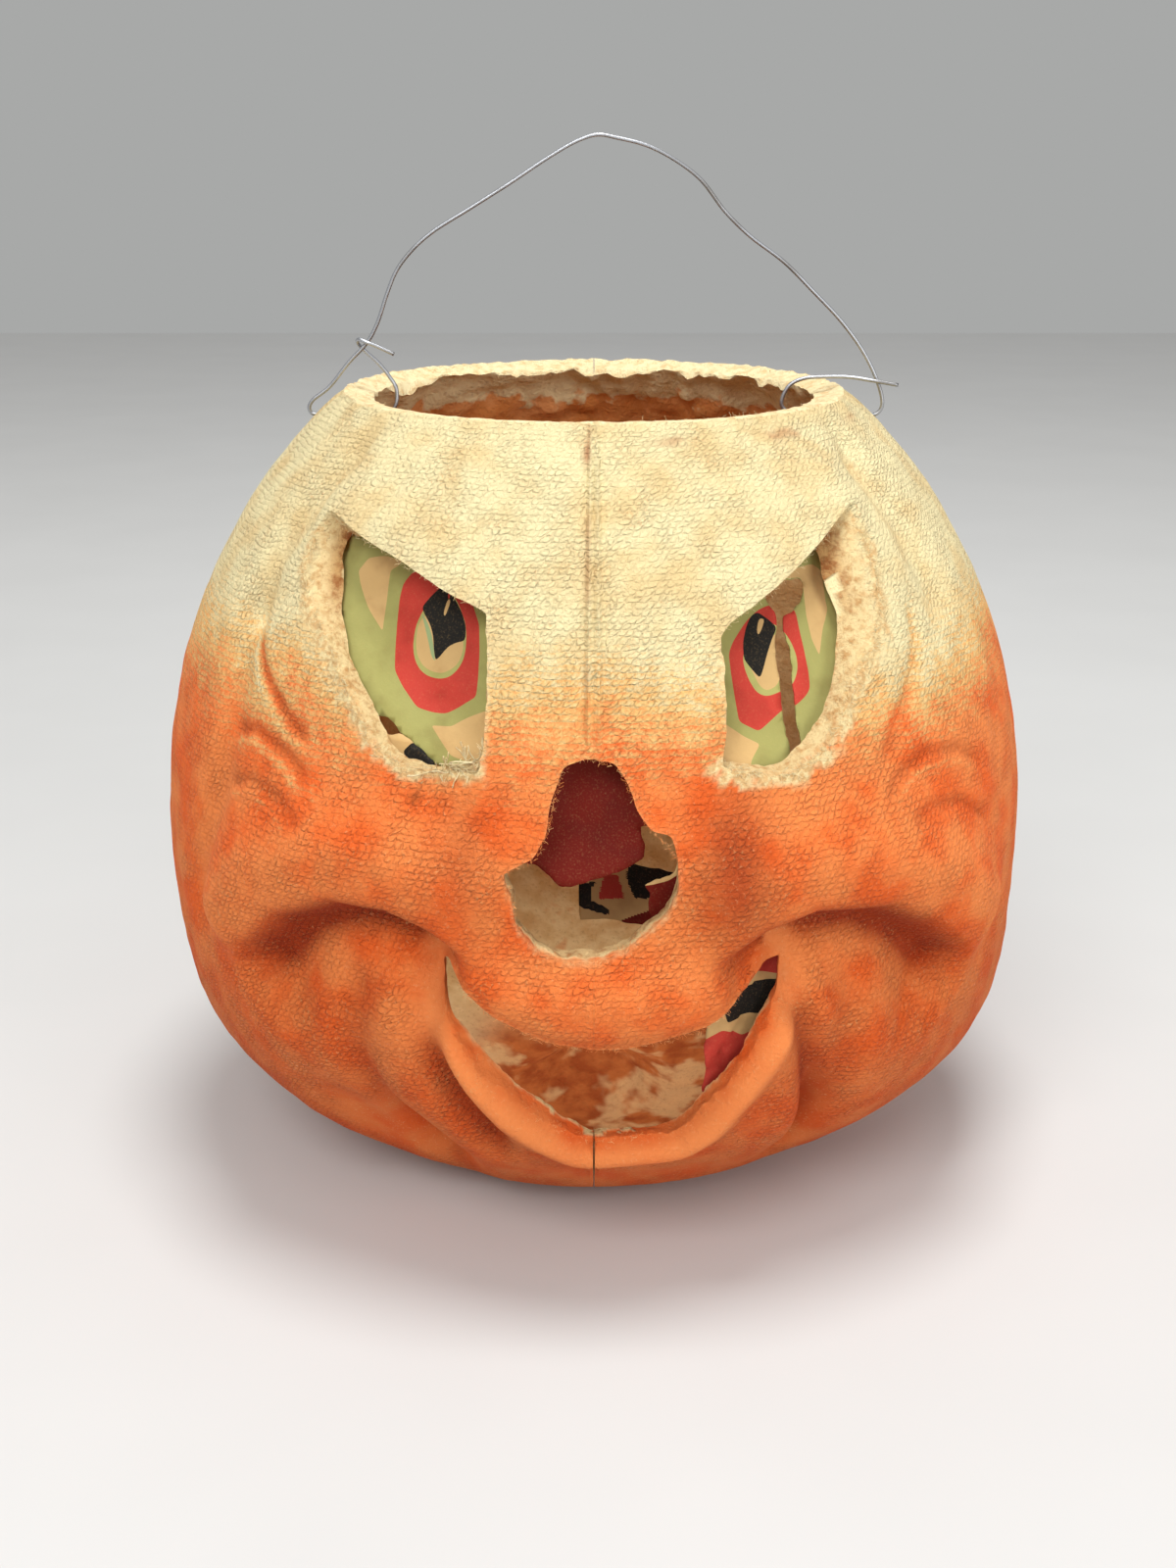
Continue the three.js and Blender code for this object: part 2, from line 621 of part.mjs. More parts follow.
function bailRoute() {
  const top = rimHeight;
  const hole = wireHoleHeight;
  const across = Math.hypot(1, slopeAt(rimHeight)) * wall;
  const innerEdge = rimRadius - across;
  const outside = radiusAt(hole) + wireRunout;
  const inside = radiusAt(hole) - across - wireRunout;
  const leg = innerEdge - legInset;
  const side = wireCrossing;
  const points = [
    // left hook, over the main wire and down inside the opening
    [-leg, -side, top + hookHeight - 1.5],
    [-leg - 2.6, -side, top + hookHeight - 0.3],
    [-leg - 4.6, -side, top + hookHeight + 0.5],
    [-leg - 5.9, -side * 0.5, top + hookHeight + 0.9],
    [-leg - 6.3, side * 0.5, top + hookHeight + 0.2],
    [-leg - 5.1, side, top + hookHeight - 1.3],
    [-leg - 3.2, side, top + hookHeight - 3],
    [-leg - 1.2, side * 0.8, top + 2],
    [-leg, side * 0.4, top],
    [-leg - 0.1, 0, hole + 1.6],
    [-leg - 1.1, 0, hole + 0.4],
    [-leg - 2.6, 0, hole],
    [-inside, 0, hole],
    // through the left hole and up outside it
    [-outside + 1.1, 0, hole],
    [-outside + 0.3, 0, hole + 0.3],
    [-outside, 0, hole + 1.1],
    [-outside + 0.5, 0, hole + 2.2],
    [-rimRadius - 2.4, 0, top + 0.2],
    [-rimRadius + 1.2, 0, top + 4.4],
  ];
  for (const [share, rise] of bailShape) points.push([share * rimRadius, 0, top + rise * bailRise]);
  points.push(
    // down outside the right hole and through it
    [rimRadius + 5.8, 0, top + 0.4],
    [outside + 0.6, 0, hole + 1.9],
    [outside + 0.3, 0, hole + 0.7],
    [outside - 0.5, 0, hole],
    [outside - 1.7, 0, hole],
    [inside, 0, hole],
    [leg + 1.2, 0, hole],
    // up inside the opening and out over the rim, then past the main wire
    [leg - 0.6, 0, hole + 0.4],
    [leg - 1.6, 0, hole + 1.5],
    [leg - 1.5, 0, top - 1.4],
    [leg - 0.4, 0, top + 0.6],
    [leg + 1.8, 0, top + leadHeight - 0.2],
    [leg + 5, 0, top + leadHeight + 0.1],
    [rimRadius + 0.6, -side * 0.2, top + leadHeight + 0.1],
    [rimRadius + 4.6, -side, top + leadHeight - 0.4],
    [rimRadius + tailReach, -side * 1.2, top + leadHeight - 1.1],
  );
  return points.map((p) => new THREE.Vector3(...p));
}

function bailWire() {
  const route = new WireCurve(bailRoute());
  const section = new THREE.Shape();
  section.absarc(0, 0, wireDiameter / 2, 0, 2 * Math.PI);
  const geometry = new THREE.ExtrudeGeometry(section, {
    steps: stepsPerWirePoint * (route.points.length - 1),
    curveSegments: wireSides / 2,
    extrudePath: route,
  });
  return toSolid(geometry);
}

// Finishes

const pulpFinish = { color: 0xe8823f, roughness: 0.9, metalness: 0 };
const eyePrintFinish = { color: 0xada665, roughness: 0.7, metalness: 0 };
const redPrintFinish = { color: 0x8c2418, roughness: 0.7, metalness: 0 };
const darkPrintFinish = { color: 0x3a3026, roughness: 0.7, metalness: 0 };
const wireFinish = { color: 0x6f7276, roughness: 0.4, metalness: 0.9 };

const shell = wholeShell();
const mouthPrint = pastedPaper(mouthPaper, mouthPaperGap).add(mouthPaperCurl());
const lantern = new THREE.Group();
lantern.add(
  toMesh('shell_left_half', shellHalf(shell, -1), pulpFinish),
  toMesh('shell_right_half', shellHalf(shell, 1), { ...pulpFinish }),
  toMesh('eye_print_left', pastedPaper(leftEyePaper), eyePrintFinish),
  toMesh('eye_print_right', pastedPaper(rightEyePaper), { ...eyePrintFinish }),
  toMesh('eye_print_scrap', pastedPaper(leftEyeScrap), darkPrintFinish),
  toMesh('nose_print', pastedPaper(nosePaper), redPrintFinish),
  toMesh('nose_print_scrap', pastedPaper(noseScrap, creasedPasteGap), { ...redPrintFinish }),
  toMesh('mouth_print', mouthPrint, { ...redPrintFinish }),
  toMesh('bail_wire', bailWire(), wireFinish),
);

export default lantern;
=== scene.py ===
"""A moulded paper pulp lantern with a torn face, paper prints behind it and a wire bail."""

import math

import bpy
import numpy as np
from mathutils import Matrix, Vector
from mathutils.geometry import delaunay_2d_cdt


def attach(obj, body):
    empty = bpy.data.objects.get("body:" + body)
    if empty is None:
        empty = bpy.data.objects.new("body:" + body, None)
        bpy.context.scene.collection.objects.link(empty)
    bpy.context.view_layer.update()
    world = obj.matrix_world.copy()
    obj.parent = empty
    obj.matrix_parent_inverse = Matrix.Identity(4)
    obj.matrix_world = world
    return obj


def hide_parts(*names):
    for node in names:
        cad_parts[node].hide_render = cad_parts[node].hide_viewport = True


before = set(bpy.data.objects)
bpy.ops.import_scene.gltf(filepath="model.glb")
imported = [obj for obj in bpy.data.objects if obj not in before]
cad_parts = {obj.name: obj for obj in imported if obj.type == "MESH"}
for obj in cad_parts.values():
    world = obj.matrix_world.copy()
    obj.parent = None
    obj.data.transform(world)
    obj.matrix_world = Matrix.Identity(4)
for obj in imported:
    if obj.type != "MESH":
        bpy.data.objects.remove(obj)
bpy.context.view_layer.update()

# Shapes are worked out in millimetres and put into the meshes in metres.
MM = 0.001

# Body
BODY_RADIUS = 76.0
DEPTH_RATIO = 0.97
WIDEST_HEIGHT = 60.4
RIM_HEIGHT = 134.8
RIM_RADIUS = 42.8
FOOT_RADIUS = 26.0
KICK_RADIUS = 16.0
KICK_HEIGHT = 7.0
WALL = 3.5
CROWN_POWER = 1.97
BELLY_POWER = 2.46
BELLY_WIDTH_POWER = 2.53
SEAM_GAP = 0.3

# Relief
CREASE_DEPTH = 7.0
INNER_CREASE_DEPTH = 3.5
CHEEK_RISE = 3.2
LIP_ROLL = 2.0
LIP_TURN = 2.4
LIP_VALLEY_DEPTH = 4.0
UPPER_LIP_RISE = 3.6
NOSE_RISE = 2.4
BROW_RISE = 1.2
JAW_RISE = 2.2
CHIN_TUCK = 2.0
FOLD_DEPTH = 1.6
THINNEST_WALL = 1.8
CORNER_DEPTH = 1.0
LOBE_DEPTH = 2.2
LOBE_WIDTH = 8.0
LOBE_SWELL = 0.8
UPPER_GROOVE_DEPTH = 2.0
LOWER_GROOVE_DEPTH = 2.8
WRINKLE_DEPTH = 0.6
WRINKLE_WIDTH = 1.0
FAINT_WRINKLE_DEPTH = 0.7
FAINT_WRINKLE_WIDTH = 1.6

# Where the relief would pass the solids, it is drawn in: [from, what it reaches, what it may reach]
SIDE_LIMIT = [70, 76.16, 75.95]
FRONT_LIMIT = [70, 77.5, 77.1]
BACK_LIMIT = [68, 74.72, 74.42]
BAIL_SHARE = 0.998

# Wire screen that the pulp was formed on
SCREEN_PITCH = 1.35
SCREEN_ROW = 1.02

# Wire bail
WIRE_DIAMETER = 0.65
WIRE_HOLE_DIAMETER = 1.6
WIRE_HOLE_DROP = 4.3
BAIL_RISE = 41.0
WIRE_RUNOUT = 1.1
WIRE_CROSSING = 1.25
LEG_INSET = 3.6
HOOK_HEIGHT = 7.4
LEAD_HEIGHT = 1.9
TAIL_REACH = 8.8


def smooth(low, high, x):
    part = np.clip((np.asarray(x, float) - low) / (high - low), 0, 1)
    return part * part * (3 - 2 * part)


def bump(distance, width):
    return np.exp(-((distance / width) ** 2))


LATTICE = np.random.default_rng(11).uniform(-1, 1, (32, 32, 32))


def lumps(points, size, shift=0.0):
    """Smooth unevenness from -1 to 1, with lumps of about that size in millimetres."""
    place = np.asarray(points, float) / size + shift
    cell = np.floor(place).astype(int)
    part = place - cell
    part = part * part * (3 - 2 * part)
    total = 0.0
    for corner in np.ndindex(2, 2, 2):
        weight = 1.0
        for axis in range(3):
            weight = weight * (part[..., axis] if corner[axis] else 1 - part[..., axis])
        i, j, k = ((cell[..., axis] + corner[axis]) % 32 for axis in range(3))
        total = total + weight * LATTICE[i, j, k]
    return total


# Side profile of the body

BELLY_FOOT_COS = (FOOT_RADIUS / BODY_RADIUS) ** (BELLY_WIDTH_POWER / 2)
BELLY_HEIGHT = WIDEST_HEIGHT / math.sqrt(1 - BELLY_FOOT_COS**2) ** (2 / BELLY_POWER)
CROWN_RIM_COS = (RIM_RADIUS / BODY_RADIUS) ** (CROWN_POWER / 2)
CROWN_HEIGHT = (RIM_HEIGHT - WIDEST_HEIGHT) / math.sqrt(1 - CROWN_RIM_COS**2) ** (2 / CROWN_POWER)


def radius_at(z):
    up = np.clip((np.asarray(z, float) - WIDEST_HEIGHT) / CROWN_HEIGHT, 0, 1)
    down = np.clip((WIDEST_HEIGHT - np.asarray(z, float)) / BELLY_HEIGHT, 0, 1)
    crown = (1 - up**CROWN_POWER) ** (1 / CROWN_POWER)
    belly = (1 - down**BELLY_POWER) ** (1 / BELLY_WIDTH_POWER)
    return BODY_RADIUS * np.where(up > 0, crown, belly)


def slope_at(z):
    step = 0.2
    low = np.clip(np.asarray(z, float) - step, 0, RIM_HEIGHT - 2 * step)
    return (radius_at(low + 2 * step) - radius_at(low)) / (2 * step)


def travelled(z):
    """Distance along the profile from the foot up to that height."""
    heights = np.linspace(0, RIM_HEIGHT, 1200)
    steps = np.hypot(np.diff(heights), np.diff(radius_at(heights)))
    return np.interp(z, heights, np.concatenate([[0], np.cumsum(steps)]))


def spaced_heights(count):
    heights = RIM_HEIGHT * (1 - np.cos(np.linspace(0, math.pi, 900))) / 2
    along = travelled(heights)
    return np.interp(np.linspace(0, along[-1], count + 1), along, heights)


# Places on the face are [arc, height], where arc is the distance round the body from the middle of the
# face at the widest radius. Places near the middle are [x, height].


def from_x(line):
    line = np.asarray(line, float)
    arc = BODY_RADIUS * np.arcsin(np.clip(line[:, 0] / radius_at(line[:, 1]), -1, 1))
    return np.stack([arc, line[:, 1]], 1)


SMILE_CREASES = [
    [[-68, 47], [-61.5, 54.6], [-53, 62.4], [-41.7, 67.2], [-32, 67.5], [-24.7, 65.2], [-16, 60]],
    [[15, 60], [20.3, 62.2], [25.8, 65], [34.7, 67], [48.3, 65], [59.3, 59.1], [68.5, 51.6], [74, 45]],
]
LOWER_LIP = from_x([
    [-23.2, 57.4], [-22.9, 54.6], [-22, 50.6], [-19.6, 46.4], [-15.4, 41.2], [-10.6, 35.6], [-6, 31.6],
    [-0.9, 27.6], [5.3, 28], [12.4, 29.2], [15.6, 32.4], [19.6, 38.6], [24.6, 46.4], [28.4, 52.4],
    [28.6, 57.2],
])
UPPER_LIP = from_x([
    [-26.4, 59.2], [-21.9, 58], [-15.4, 52.2], [-6.7, 47.8], [-0.1, 46.6], [5, 46.5], [16.7, 49.6],
    [24, 54.4], [29, 58.6],
])
LIP_VALLEYS = [
    [[-27.7, 61], [-26.4, 55], [-26, 50], [-25.4, 42.5], [-23, 33.6], [-18.4, 26.2], [-16, 19]],
    [[28.6, 60], [31, 54], [34.4, 47.3], [38.7, 35.1], [43, 24], [45, 12]],
]
MOUTH_CORNERS = from_x([[-27, 60], [29.5, 59.5]])
BROWS = [
    from_x([[-42, 125], [-28.4, 119], [-15.5, 113.5]]),
    from_x([[18, 111], [28, 117], [40, 125]]),
]
UPPER_GROOVES = [
    [[-65.4, 134.4], [-66.3, 126.4], [-72.8, 116.3], [-75.1, 100]],
    [[79, 134], [72.9, 126.8], [75.9, 118.2], [77, 102]],
]
LOWER_GROOVES = [
    [[-39.9, 57], [-41, 47], [-41, 38], [-39.5, 30], [-36, 20], [-34, 8]],
    [[43.3, 57], [43.3, 46], [43.3, 38.2], [44, 28], [45, 8]],
]
SIDE_FOLDS = [
    [[-72.6, 113], [-71, 98.5], [-69.8, 89.4], [-70.4, 81.5], [-73.1, 70.7], [-77.4, 57.4], [-80, 46]],
]
JAW_NOTCHES = [[-36, 17, 6.0], [-50, 21, 3.6], [47, 16, 1.4]]
FAINT_WRINKLES = [
    [[48, 84], [52, 90], [58, 96], [64, 103], [66, 110]],
]
WRINKLES = [
    [[-69.8, 103.2], [-62.2, 97.1], [-53.5, 91.4], [-47.4, 88.8]],
    [[-70.2, 87.4], [-61.7, 89.1], [-52.3, 86.5], [-46.4, 83.1]],
    [[-69.3, 79.1], [-60.5, 81.6], [-52.3, 79.8], [-45.7, 76.6]],
    [[46.5, 79.4], [51.4, 83.7], [58.9, 86], [68.5, 84.7], [76.2, 80.5]],
    [[50.7, 75.6], [57.4, 78], [66.7, 76.9], [76.4, 71.5]],
]
LOBE_ANGLES = [-154, -128, -102, 102, 128, 154]


def nearest_on(line, s, z, closed=False):
    """Distance to a line, distance above it, and how far along it from 0 to 1."""
    line = np.asarray(line, float)
    if closed:
        line = np.vstack([line, line[:1]])
    spans = np.hypot(*np.diff(line, axis=0).T)
    starts = np.concatenate([[0], np.cumsum(spans)])
    best = np.full(np.shape(s), np.inf)
    above = np.zeros(np.shape(s))
    along = np.zeros(np.shape(s))
    for (s0, z0), (s1, z1), span, start in zip(line[:-1], line[1:], spans, starts):
        ds, dz = s1 - s0, z1 - z0
        ps, pz = s - s0, z - z0
        part = np.clip((ps * ds + pz * dz) / span**2, 0, 1)
        distance = np.hypot(ps - part * ds, pz - part * dz)
        nearer = distance < best
        above = np.where(nearer, distance * np.sign(ds * pz - dz * ps), above)
        along = np.where(nearer, (start + part * span) / starts[-1], along)
        best = np.where(nearer, distance, best)
    return best, above, along


def fade_ends(along, share=0.15):
    return smooth(0, share, along) * (1 - smooth(1 - share, 1, along))


def mound(s, z, place, s_width, z_width):
    return bump(s - place[0], s_width) * bump(z - place[1], z_width)


def grooves(lines, depth, width, s, z):
    total = 0.0
    for line in lines:
        distance, _, along = nearest_on(line, s, z)
        total = total - depth * fade_ends(along) * bump(distance, width)
    return total


def lobes(s, z):
    angle = np.degrees(s / BODY_RADIUS)
    away = np.abs((angle + 540) % 360 - 180)
    total = LOBE_SWELL * smooth(85, 115, away)
    for middle in LOBE_ANGLES:
        turn = np.abs((angle - middle + 540) % 360 - 180)
        total = total - LOBE_DEPTH * bump(np.radians(turn) * BODY_RADIUS, LOBE_WIDTH)
    return total * smooth(6, 30, z) * (1 - 0.6 * smooth(RIM_HEIGHT - 30, RIM_HEIGHT, z))


def wrinkle_ridge(s, z):
    """1 on the raised fold below each wrinkle."""
    total = 0.0
    for line in WRINKLES:
        _, above, along = nearest_on(line, s, z)
        total = total + fade_ends(along) * bump(above + 1.6, 0.9)
    return total


def crease_shade(s, z):
    """1 low in the smile creases, under the overhang of the cheeks, where painted shade darkens the colour.
    """
    total = 0.0
    for line in SMILE_CREASES:
        _, above, along = nearest_on(line, s, z)
        total = total + fade_ends(along, 0.2) * bump(above + 3.2, 3.4)
    return total


def outer_relief(s, z):
    total = lobes(s, z)
    for line in SMILE_CREASES:
        _, above, along = nearest_on(line, s, z)
        step = smooth(-0.5, 3.6, -above) * (1 - smooth(5, 22, -above))
        total = total + fade_ends(along) * (CHEEK_RISE * bump(above - 7, 8) - CREASE_DEPTH * step)
    distance, above, along = nearest_on(LOWER_LIP, s, z)
    lip = LIP_ROLL * bump(distance - 4.2, 2.6) - LIP_TURN * bump(distance, 2.2)
    total = total + fade_ends(along, 0.12) * (above < 0) * lip
    distance, _, along = nearest_on(UPPER_LIP, s, z)
    total = total - fade_ends(along, 0.1) * 1.6 * bump(distance, 1.8)
    total = total + grooves(LIP_VALLEYS, LIP_VALLEY_DEPTH, 3.0, s, z)
    for corner in MOUTH_CORNERS:
        total = total - CORNER_DEPTH * mound(s, z, corner, 5, 5)
    for line in BROWS:
        distance, _, along = nearest_on(line, s, z)
        total = total + fade_ends(along) * BROW_RISE * bump(distance, 6)
    total = total + UPPER_LIP_RISE * mound(s, z, [0, 54], 21, 7)
    total = total + NOSE_RISE * mound(s, z, [0, 77], 15, 13)
    total = total + JAW_RISE * (mound(s, z, [96, 28], 30, 14) + 0.4 * mound(s, z, [-96, 30], 30, 12))
    total = total - CHIN_TUCK * mound(s, z, [5, 13], 38, 9)
    for arc, height, depth in JAW_NOTCHES:
        total = total - depth * mound(s, z, [arc, height], 8, 10)
    total = total + grooves(UPPER_GROOVES, UPPER_GROOVE_DEPTH, 5, s, z)
    total = total + grooves(SIDE_FOLDS, FOLD_DEPTH, 4, s, z)
    total = total + grooves(LOWER_GROOVES, LOWER_GROOVE_DEPTH, 4.6, s, z)
    total = total + grooves(WRINKLES, WRINKLE_DEPTH, WRINKLE_WIDTH, s, z)
    total = total + grooves(FAINT_WRINKLES, FAINT_WRINKLE_DEPTH, FAINT_WRINKLE_WIDTH, s, z)
    return total + 0.15 * wrinkle_ridge(s, z)


def inner_relief(s, z):
    total = lobes(s, z)
    for line in SMILE_CREASES:
        _, above, along = nearest_on(line, s, z)
        total = total - fade_ends(along) * INNER_CREASE_DEPTH * bump(-above - 9, 11)
    total = total + grooves(LOWER_GROOVES, 2, 8, s, z)
    return -np.logaddexp(-total, THINNEST_WALL - WALL - outer_relief(s, z))


def body_points(azimuth, z, relief, inset):
    azimuth, z = np.broadcast_arrays(np.asarray(azimuth, float), np.asarray(z, float))
    slope = slope_at(z)
    level = smooth(0, 12, z) * (1 - smooth(RIM_HEIGHT - 9, RIM_HEIGHT, z))
    lift = relief(azimuth * BODY_RADIUS, z) * smooth(1, 14, z)
    outward = 1 / np.hypot(1, slope)
    upward = -slope * outward
    radius = radius_at(z) + outward * (lift - inset)
    return np.stack(
        [
            radius * np.sin(azimuth),
            -radius * np.cos(azimuth) * DEPTH_RATIO,
            z + upward * (lift * level - inset),
        ],
        -1,
    )


def front_wall(x, z, relief, inset):
    """Points on the front wall that are seen at that x and height from in front."""
    x, z = np.asarray(x, float), np.asarray(z, float)
    azimuth, height = np.arcsin(np.clip(x / radius_at(z), -0.98, 0.98)), z
    for _ in range(6):
        points = body_points(azimuth, height, relief, inset)
        radius = np.hypot(points[..., 0], points[..., 1] / DEPTH_RATIO)
        azimuth = np.arcsin(np.clip(x / radius, -0.98, 0.98))
        height = np.clip(height + z - points[..., 2], 0, RIM_HEIGHT)
    return body_points(azimuth, height, relief, inset)


# Meshes from points


def new_mesh(name, points, faces):
    mesh = bpy.data.meshes.new(name)
    mesh.from_pydata((np.asarray(points) * MM).tolist(), [], [list(map(int, face)) for face in faces])
    mesh.validate()
    return mesh


def new_object(name, mesh):
    obj = bpy.data.objects.new(name, mesh)
    bpy.context.scene.collection.objects.link(obj)
    return obj


def settled(obj, name):
    """The object with its modifiers worked in, as a new object with a plain mesh."""
    graph = bpy.context.evaluated_depsgraph_get()
    mesh = bpy.data.meshes.new_from_object(obj.evaluated_get(graph), depsgraph=graph)
    bpy.data.objects.remove(obj)
    mesh.name = name
    return new_object(name, mesh)


def vertex_points(mesh):
    flat = np.empty(len(mesh.vertices) * 3)
    mesh.vertices.foreach_get("co", flat)
    return flat.reshape(-1, 3) / MM


def set_values(mesh, name, values):
    mesh.attributes.new(name, "FLOAT", "POINT").data.foreach_set("value", np.asarray(values, np.float32))


# Moulded halves

LEFT_EYE_HOLE = [
    [-39.8, 120.6, -37.6, 117.4], [-34.8, 118.4, -34.8, 117.4], [-28.4, 116.1, -28.4, 115.5],
    [-22.3, 113, -22.3, 112.6], [-15.5, 110.3, -15.5, 110], [-15.4, 100.6], [-15.8, 92.6], [-16.7, 88.9],
    [-23.6, 88], [-28.6, 88.4, -28.2, 88.9], [-32.4, 90.3, -30.7, 90.9], [-34.2, 93.6, -32.2, 94],
    [-37.2, 97.8, -35.2, 98.2], [-39.6, 102.6, -37.5, 102.8], [-42.4, 106.7, -38.7, 107.4],
    [-44.6, 110.4, -38.9, 110.8], [-44.6, 113.6, -38.4, 113.6], [-42.8, 117.2, -37.8, 116],
]
RIGHT_EYE_HOLE = [
    [38.4, 121.6, 34.5, 117.6], [40.6, 118.7, 33.9, 115.9], [42, 115.8, 34.9, 113],
    [43.2, 110.7, 36.1, 109.9], [44, 106.2, 37.3, 107], [41.6, 102.4, 37, 103.6], [38.6, 97.4, 36, 98],
    [36.4, 92.6, 34, 93.4], [33.2, 89, 31.2, 90.3], [28.8, 87, 28.1, 88.2], [24.8, 87.6], [18.4, 89.2],
    [19.2, 94.4], [19, 100.4], [18.3, 106.9], [19.8, 108.7], [23.5, 111], [28, 113.8], [33.7, 118],
]
NOSE_HOLE = [
    [-0.8, 91.5], [-4.3, 90.4], [-6.2, 85.6], [-6.9, 80.8], [-8.6, 77.6], [-13.3, 75], [-11.9, 71.2],
    [-11.3, 66.6], [-8.3, 63.2], [-3.7, 61.8], [0.9, 62.1], [4.8, 63.6], [10.5, 68.4], [12.2, 72.2],
    [12.2, 77], [11.2, 80.6], [8.3, 81.4], [6.2, 84.3], [5.1, 87.7], [3.1, 90.7],
]
MOUTH_HOLE = [
    [29, 58.6, 28.6, 57.2], [29.3, 52, 28.4, 52.4], [25.6, 45.8, 24.6, 46.4], [20.6, 38, 19.6, 38.6],
    [16, 31.9, 15.6, 32.4], [12.2, 28.6, 12.4, 29.2], [5.2, 27.6, 5.3, 28], [-0.9, 27.2, -0.9, 27.6],
    [-6.2, 30.6, -6, 31.6], [-11.2, 34.4, -10.6, 35.6], [-16.4, 40, -15.4, 41.2],
    [-20.6, 45.2, -19.6, 46.4], [-23.4, 50, -22, 50.6], [-24.6, 54.8, -22.9, 54.6],
    [-25.4, 58.6, -23.2, 57.4], [-21.9, 58], [-15.4, 52.2], [-6.7, 47.8], [-0.1, 46.6], [5, 46.5],
    [16.7, 49.6], [24, 54.4],
]


def turning(points):
    """1 where a closed line turns left, seen from in front, and -1 where it turns right."""
    x, z = points[:, 0], points[:, 1]
    return np.sign(np.sum(x * np.roll(z, -1) - np.roll(x, -1) * z))


def paired(edges):
    """Outer and inner outline of an opening, turning the same way round."""
    full = np.array([edge if len(edge) == 4 else edge + edge for edge in edges], float)
    return full if turning(full[:, :2]) < 0 else full[::-1]


def resampled(line, spacing, rounding=0):
    """A closed line with points that far apart, its corners rounded over that many points."""
    line = np.asarray(line, float)
    looped = np.vstack([line, line[:1]])
    spans = np.hypot(*np.diff(looped[:, :2], axis=0).T)
    starts = np.concatenate([[0], np.cumsum(spans)])
    count = max(8, int(starts[-1] / spacing))
    along = np.linspace(0, starts[-1], count, endpoint=False)
    points = np.stack([np.interp(along, starts, looped[:, i]) for i in range(line.shape[1])], 1)
    for _ in range(rounding):
        points = (np.roll(points, 1, 0) + 2 * points + np.roll(points, -1, 0)) / 4
    return points


def outline_normals(points):
    """Directions out of a closed line."""
    ahead = np.roll(points, -1, 0) - np.roll(points, 1, 0)
    normals = np.stack([ahead[:, 1], -ahead[:, 0]], 1) * turning(points)
    return normals / np.linalg.norm(normals, axis=1, keepdims=True)


def front_place(x, z, inset):
    radius = radius_at(z) - inset * np.hypot(1, slope_at(z))
    return np.stack([x, -DEPTH_RATIO * np.sqrt(np.maximum(radius**2 - x**2, 0)), z], -1)


def opening_cutter(name, edges, ragged):
    """A solid that tears an opening, with rough sides through the wall."""
    full = resampled(paired(edges), 0.45, 3)
    normals = outline_normals(full[:, :2])
    front = front_place(full[:, 0], full[:, 1], 0)
    behind = front_place(full[:, 2], full[:, 3], WALL)
    direction = behind - front
    direction /= np.linalg.norm(direction, axis=1, keepdims=True)
    side = np.stack([normals[:, 0], 0 * normals[:, 0], normals[:, 1]], 1)
    amount = (ragged * (0.25 + 0.75 * smooth(0.35, -0.5, normals[:, 1])))[:, None]
    shares = [-0.15, 0, 0.12, 0.25, 0.4, 0.55, 0.7, 0.85, 1, 1.2]
    rings = [front - 9 * direction]
    for share in shares:
        ring = front + (behind - front) * share
        rough = 0.6 * lumps(ring, 2.4) + 0.45 * lumps(ring, 0.9, 5.3)
        rings.append(ring + side * amount * rough[:, None])
    rings.append(rings[-1] + [0, 9, 0])
    count = len(full)
    faces = [list(range(count))[::-1], [len(rings) * count - count + i for i in range(count)]]
    for r in range(len(rings) - 1):
        for i in range(count):
            j = (i + 1) % count
            faces.append([r * count + i, r * count + j, (r + 1) * count + j, (r + 1) * count + i])
    mesh = new_mesh(name, np.vstack(rings), faces)
    return new_object(name, mesh)


def rod_cutter(name, diameter, length, z):
    turn = np.linspace(0, 2 * math.pi, 16, endpoint=False)
    ring = np.stack([0 * turn, diameter / 2 * np.cos(turn), z + diameter / 2 * np.sin(turn)], 1)
    points = np.vstack([ring - [length / 2, 0, 0], ring + [length / 2, 0, 0]])
    faces = [list(range(16))[::-1], [16 + i for i in range(16)]]
    faces += [[i, (i + 1) % 16, 16 + (i + 1) % 16, 16 + i] for i in range(16)]
    return new_object(name, new_mesh(name, points, faces))


def column_arcs(half_turn):
    """Arcs of the columns of one half, close together at the seams and on the face."""
    near_seam = [0, 0.3, 0.6, 0.9, 1.2, 1.6, 2.1, 2.7, 3.4]
    face = np.arange(4.2, 104, 0.8)
    back = np.arange(face[-1] + 1.2, half_turn - 3.6, 1.15)
    far_seam = half_turn - np.array(near_seam[::-1])
    arcs = np.concatenate([near_seam, face, back, far_seam])
    return arcs if len(arcs) % 2 else np.delete(arcs, len(near_seam) + 1)


def seam_flash(s, z):
    """Two thin ridges beside the seam, on the forehead and down the back."""
    half_turn = math.pi * BODY_RADIUS
    away = np.minimum(np.abs(s), np.abs(half_turn - np.abs(s)))
    uneven = 0.75 + 0.25 * np.sin(z * 0.7) * np.sin(z * 0.23 + 2)
    high = smooth(86, 96, z)
    return (0.2 + 0.6 * high) * uneven * bump(away - 0.8, 0.4) - 0.35 * high * bump(away - 1.8, 0.5)


def rim_lip(azimuth, z):
    """The torn lip that folds outwards along the front of the rim, heavier on the right."""
    right = smooth(0.0, 0.03, azimuth) * (1 - smooth(1.1, 1.35, azimuth))
    left = smooth(-1.3, -1.1, azimuth) * (1 - smooth(-0.03, 0.0, azimuth))
    share = right + 0.6 * left
    return share * (0.85 * bump(z - RIM_HEIGHT, 1.0) - 0.4 * bump(z - RIM_HEIGHT + 2.3, 0.8))


